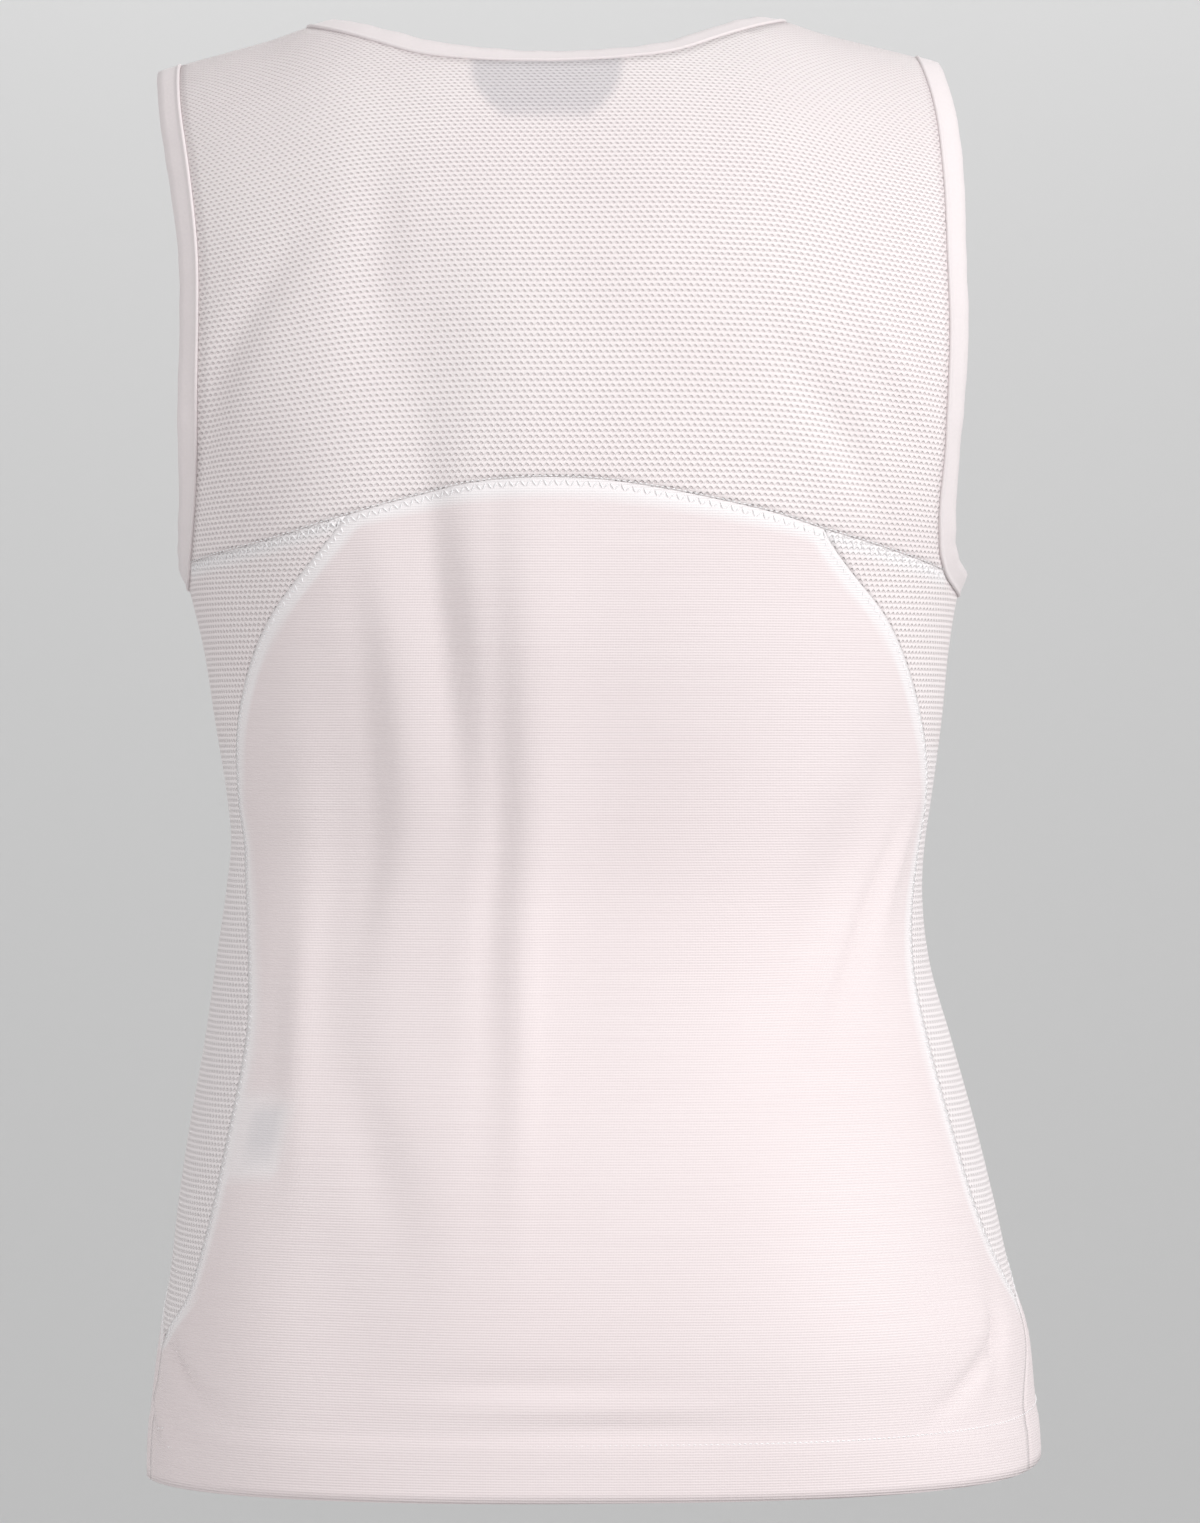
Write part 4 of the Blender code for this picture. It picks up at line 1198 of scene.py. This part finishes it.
ALL_SEAMS = {
    "yoke": yoke_seam(yoke_end_across(LEFT), yoke_end_across(RIGHT)),
    "back_left": side_seam(LEFT, BACK, panel_corner(LEFT)),
    "back_right": side_seam(RIGHT, BACK, panel_corner(RIGHT)),
    "front_left": side_seam(LEFT, FRONT, front_corner(LEFT)),
    "front_right": side_seam(RIGHT, FRONT, front_corner(RIGHT)),
}
BAND_SEAMS = {
    "back_panel": [ALL_SEAMS["yoke"], ALL_SEAMS["back_left"], ALL_SEAMS["back_right"]],
    "side_panel_left": [ALL_SEAMS["yoke"]],
    "side_panel_right": [ALL_SEAMS["yoke"]],
    "front_panel": [ALL_SEAMS["front_left"], ALL_SEAMS["front_right"]],
}

yoke = cloth("back_yoke", yoke_grids(), 0.0, MESH_CLOTH)
back = cloth("back_panel", [back_panel_pairs()], 0.0, KNIT_CLOTH)
front = cloth("front_panel", front_panel_grids(), 180.0, KNIT_CLOTH)
side_left = cloth("side_panel_left", [side_panel_pairs(LEFT)], -90.0, MESH_CLOTH)
side_right = cloth("side_panel_right", [side_panel_pairs(RIGHT)], 90.0, MESH_CLOTH)

neck_runs = neck_parts(BACK) + tuple(run[::-1] for run in neck_parts(FRONT)[::-1])
binding("neck_binding", neck_runs, neck_lean)
binding("armhole_binding_left", armhole_parts(LEFT), armhole_lean)
binding("armhole_binding_right", armhole_parts(RIGHT), armhole_lean)

neck_place = label_pairs(-0.0115, 0.018, 0.030, -0.0395, -0.0175, 0.0)
care_place = label_pairs(-0.1275, 0.0105, 0.0105, -0.4850, -0.4560, -0.25)
neck_tag = label("neck_label", neck_place, NECK_LABEL_COLOR)
care_tag = label("care_label", care_place, CARE_LABEL_COLOR)

HEM_TURNS = (-181.0, 179.0)
yoke_stitch = [
    stitches("yoke_ladder", ALL_SEAMS["yoke"], LADDER),
    stitches("yoke_edge_stitch", ALL_SEAMS["yoke"], EDGE_ROW),
    allowance("yoke_allowance", ALL_SEAMS["yoke"], *YOKE_ALLOWANCE),
]
# turn of the middle of the panel each side seam's stitches lie on
SEAM_MIDDLES = (("back_left", 0.0), ("back_right", 0.0), ("front_left", -180.0), ("front_right", 180.0))
for seam_name, middle in SEAM_MIDDLES:
    seam = ALL_SEAMS[seam_name]
    stitches(seam_name + "_ladder", seam, SIDE_LADDER, middle)
    allowance(seam_name + "_allowance", seam, *SIDE_ALLOWANCE, middle)
for row_name, height in HEM_ROWS_UP:
    line_pairs = hem_line(HEM_TURNS[0], HEM_TURNS[1], height, HEM_POINTS)
    stitches("hem_stitch_" + row_name, line_pairs, HEM_ROW)

backdrop()
area_light("key", (2.1, -1.7, 1.0), BODY_MIDDLE, (1.2, 1.2), KEY_WATTS)
area_light("fill", (-1.9, -2.2, 0.1), BODY_MIDDLE, (2.0, 2.0), FILL_WATTS)
area_light("back_wash", (0.0, 2.8, 2.6), (0.0, 4.2, 0.0), (4.0, 1.0), WASH_WATTS)
world = bpy.data.worlds.new("studio")
bpy.context.scene.world = world
world.use_nodes = True
world.node_tree.nodes["Background"].inputs["Color"].default_value = (1.0, 1.0, 1.0, 1.0)
world.node_tree.nodes["Background"].inputs["Strength"].default_value = WORLD_STRENGTH
bpy.context.scene.view_settings.view_transform = "Standard"
camera()
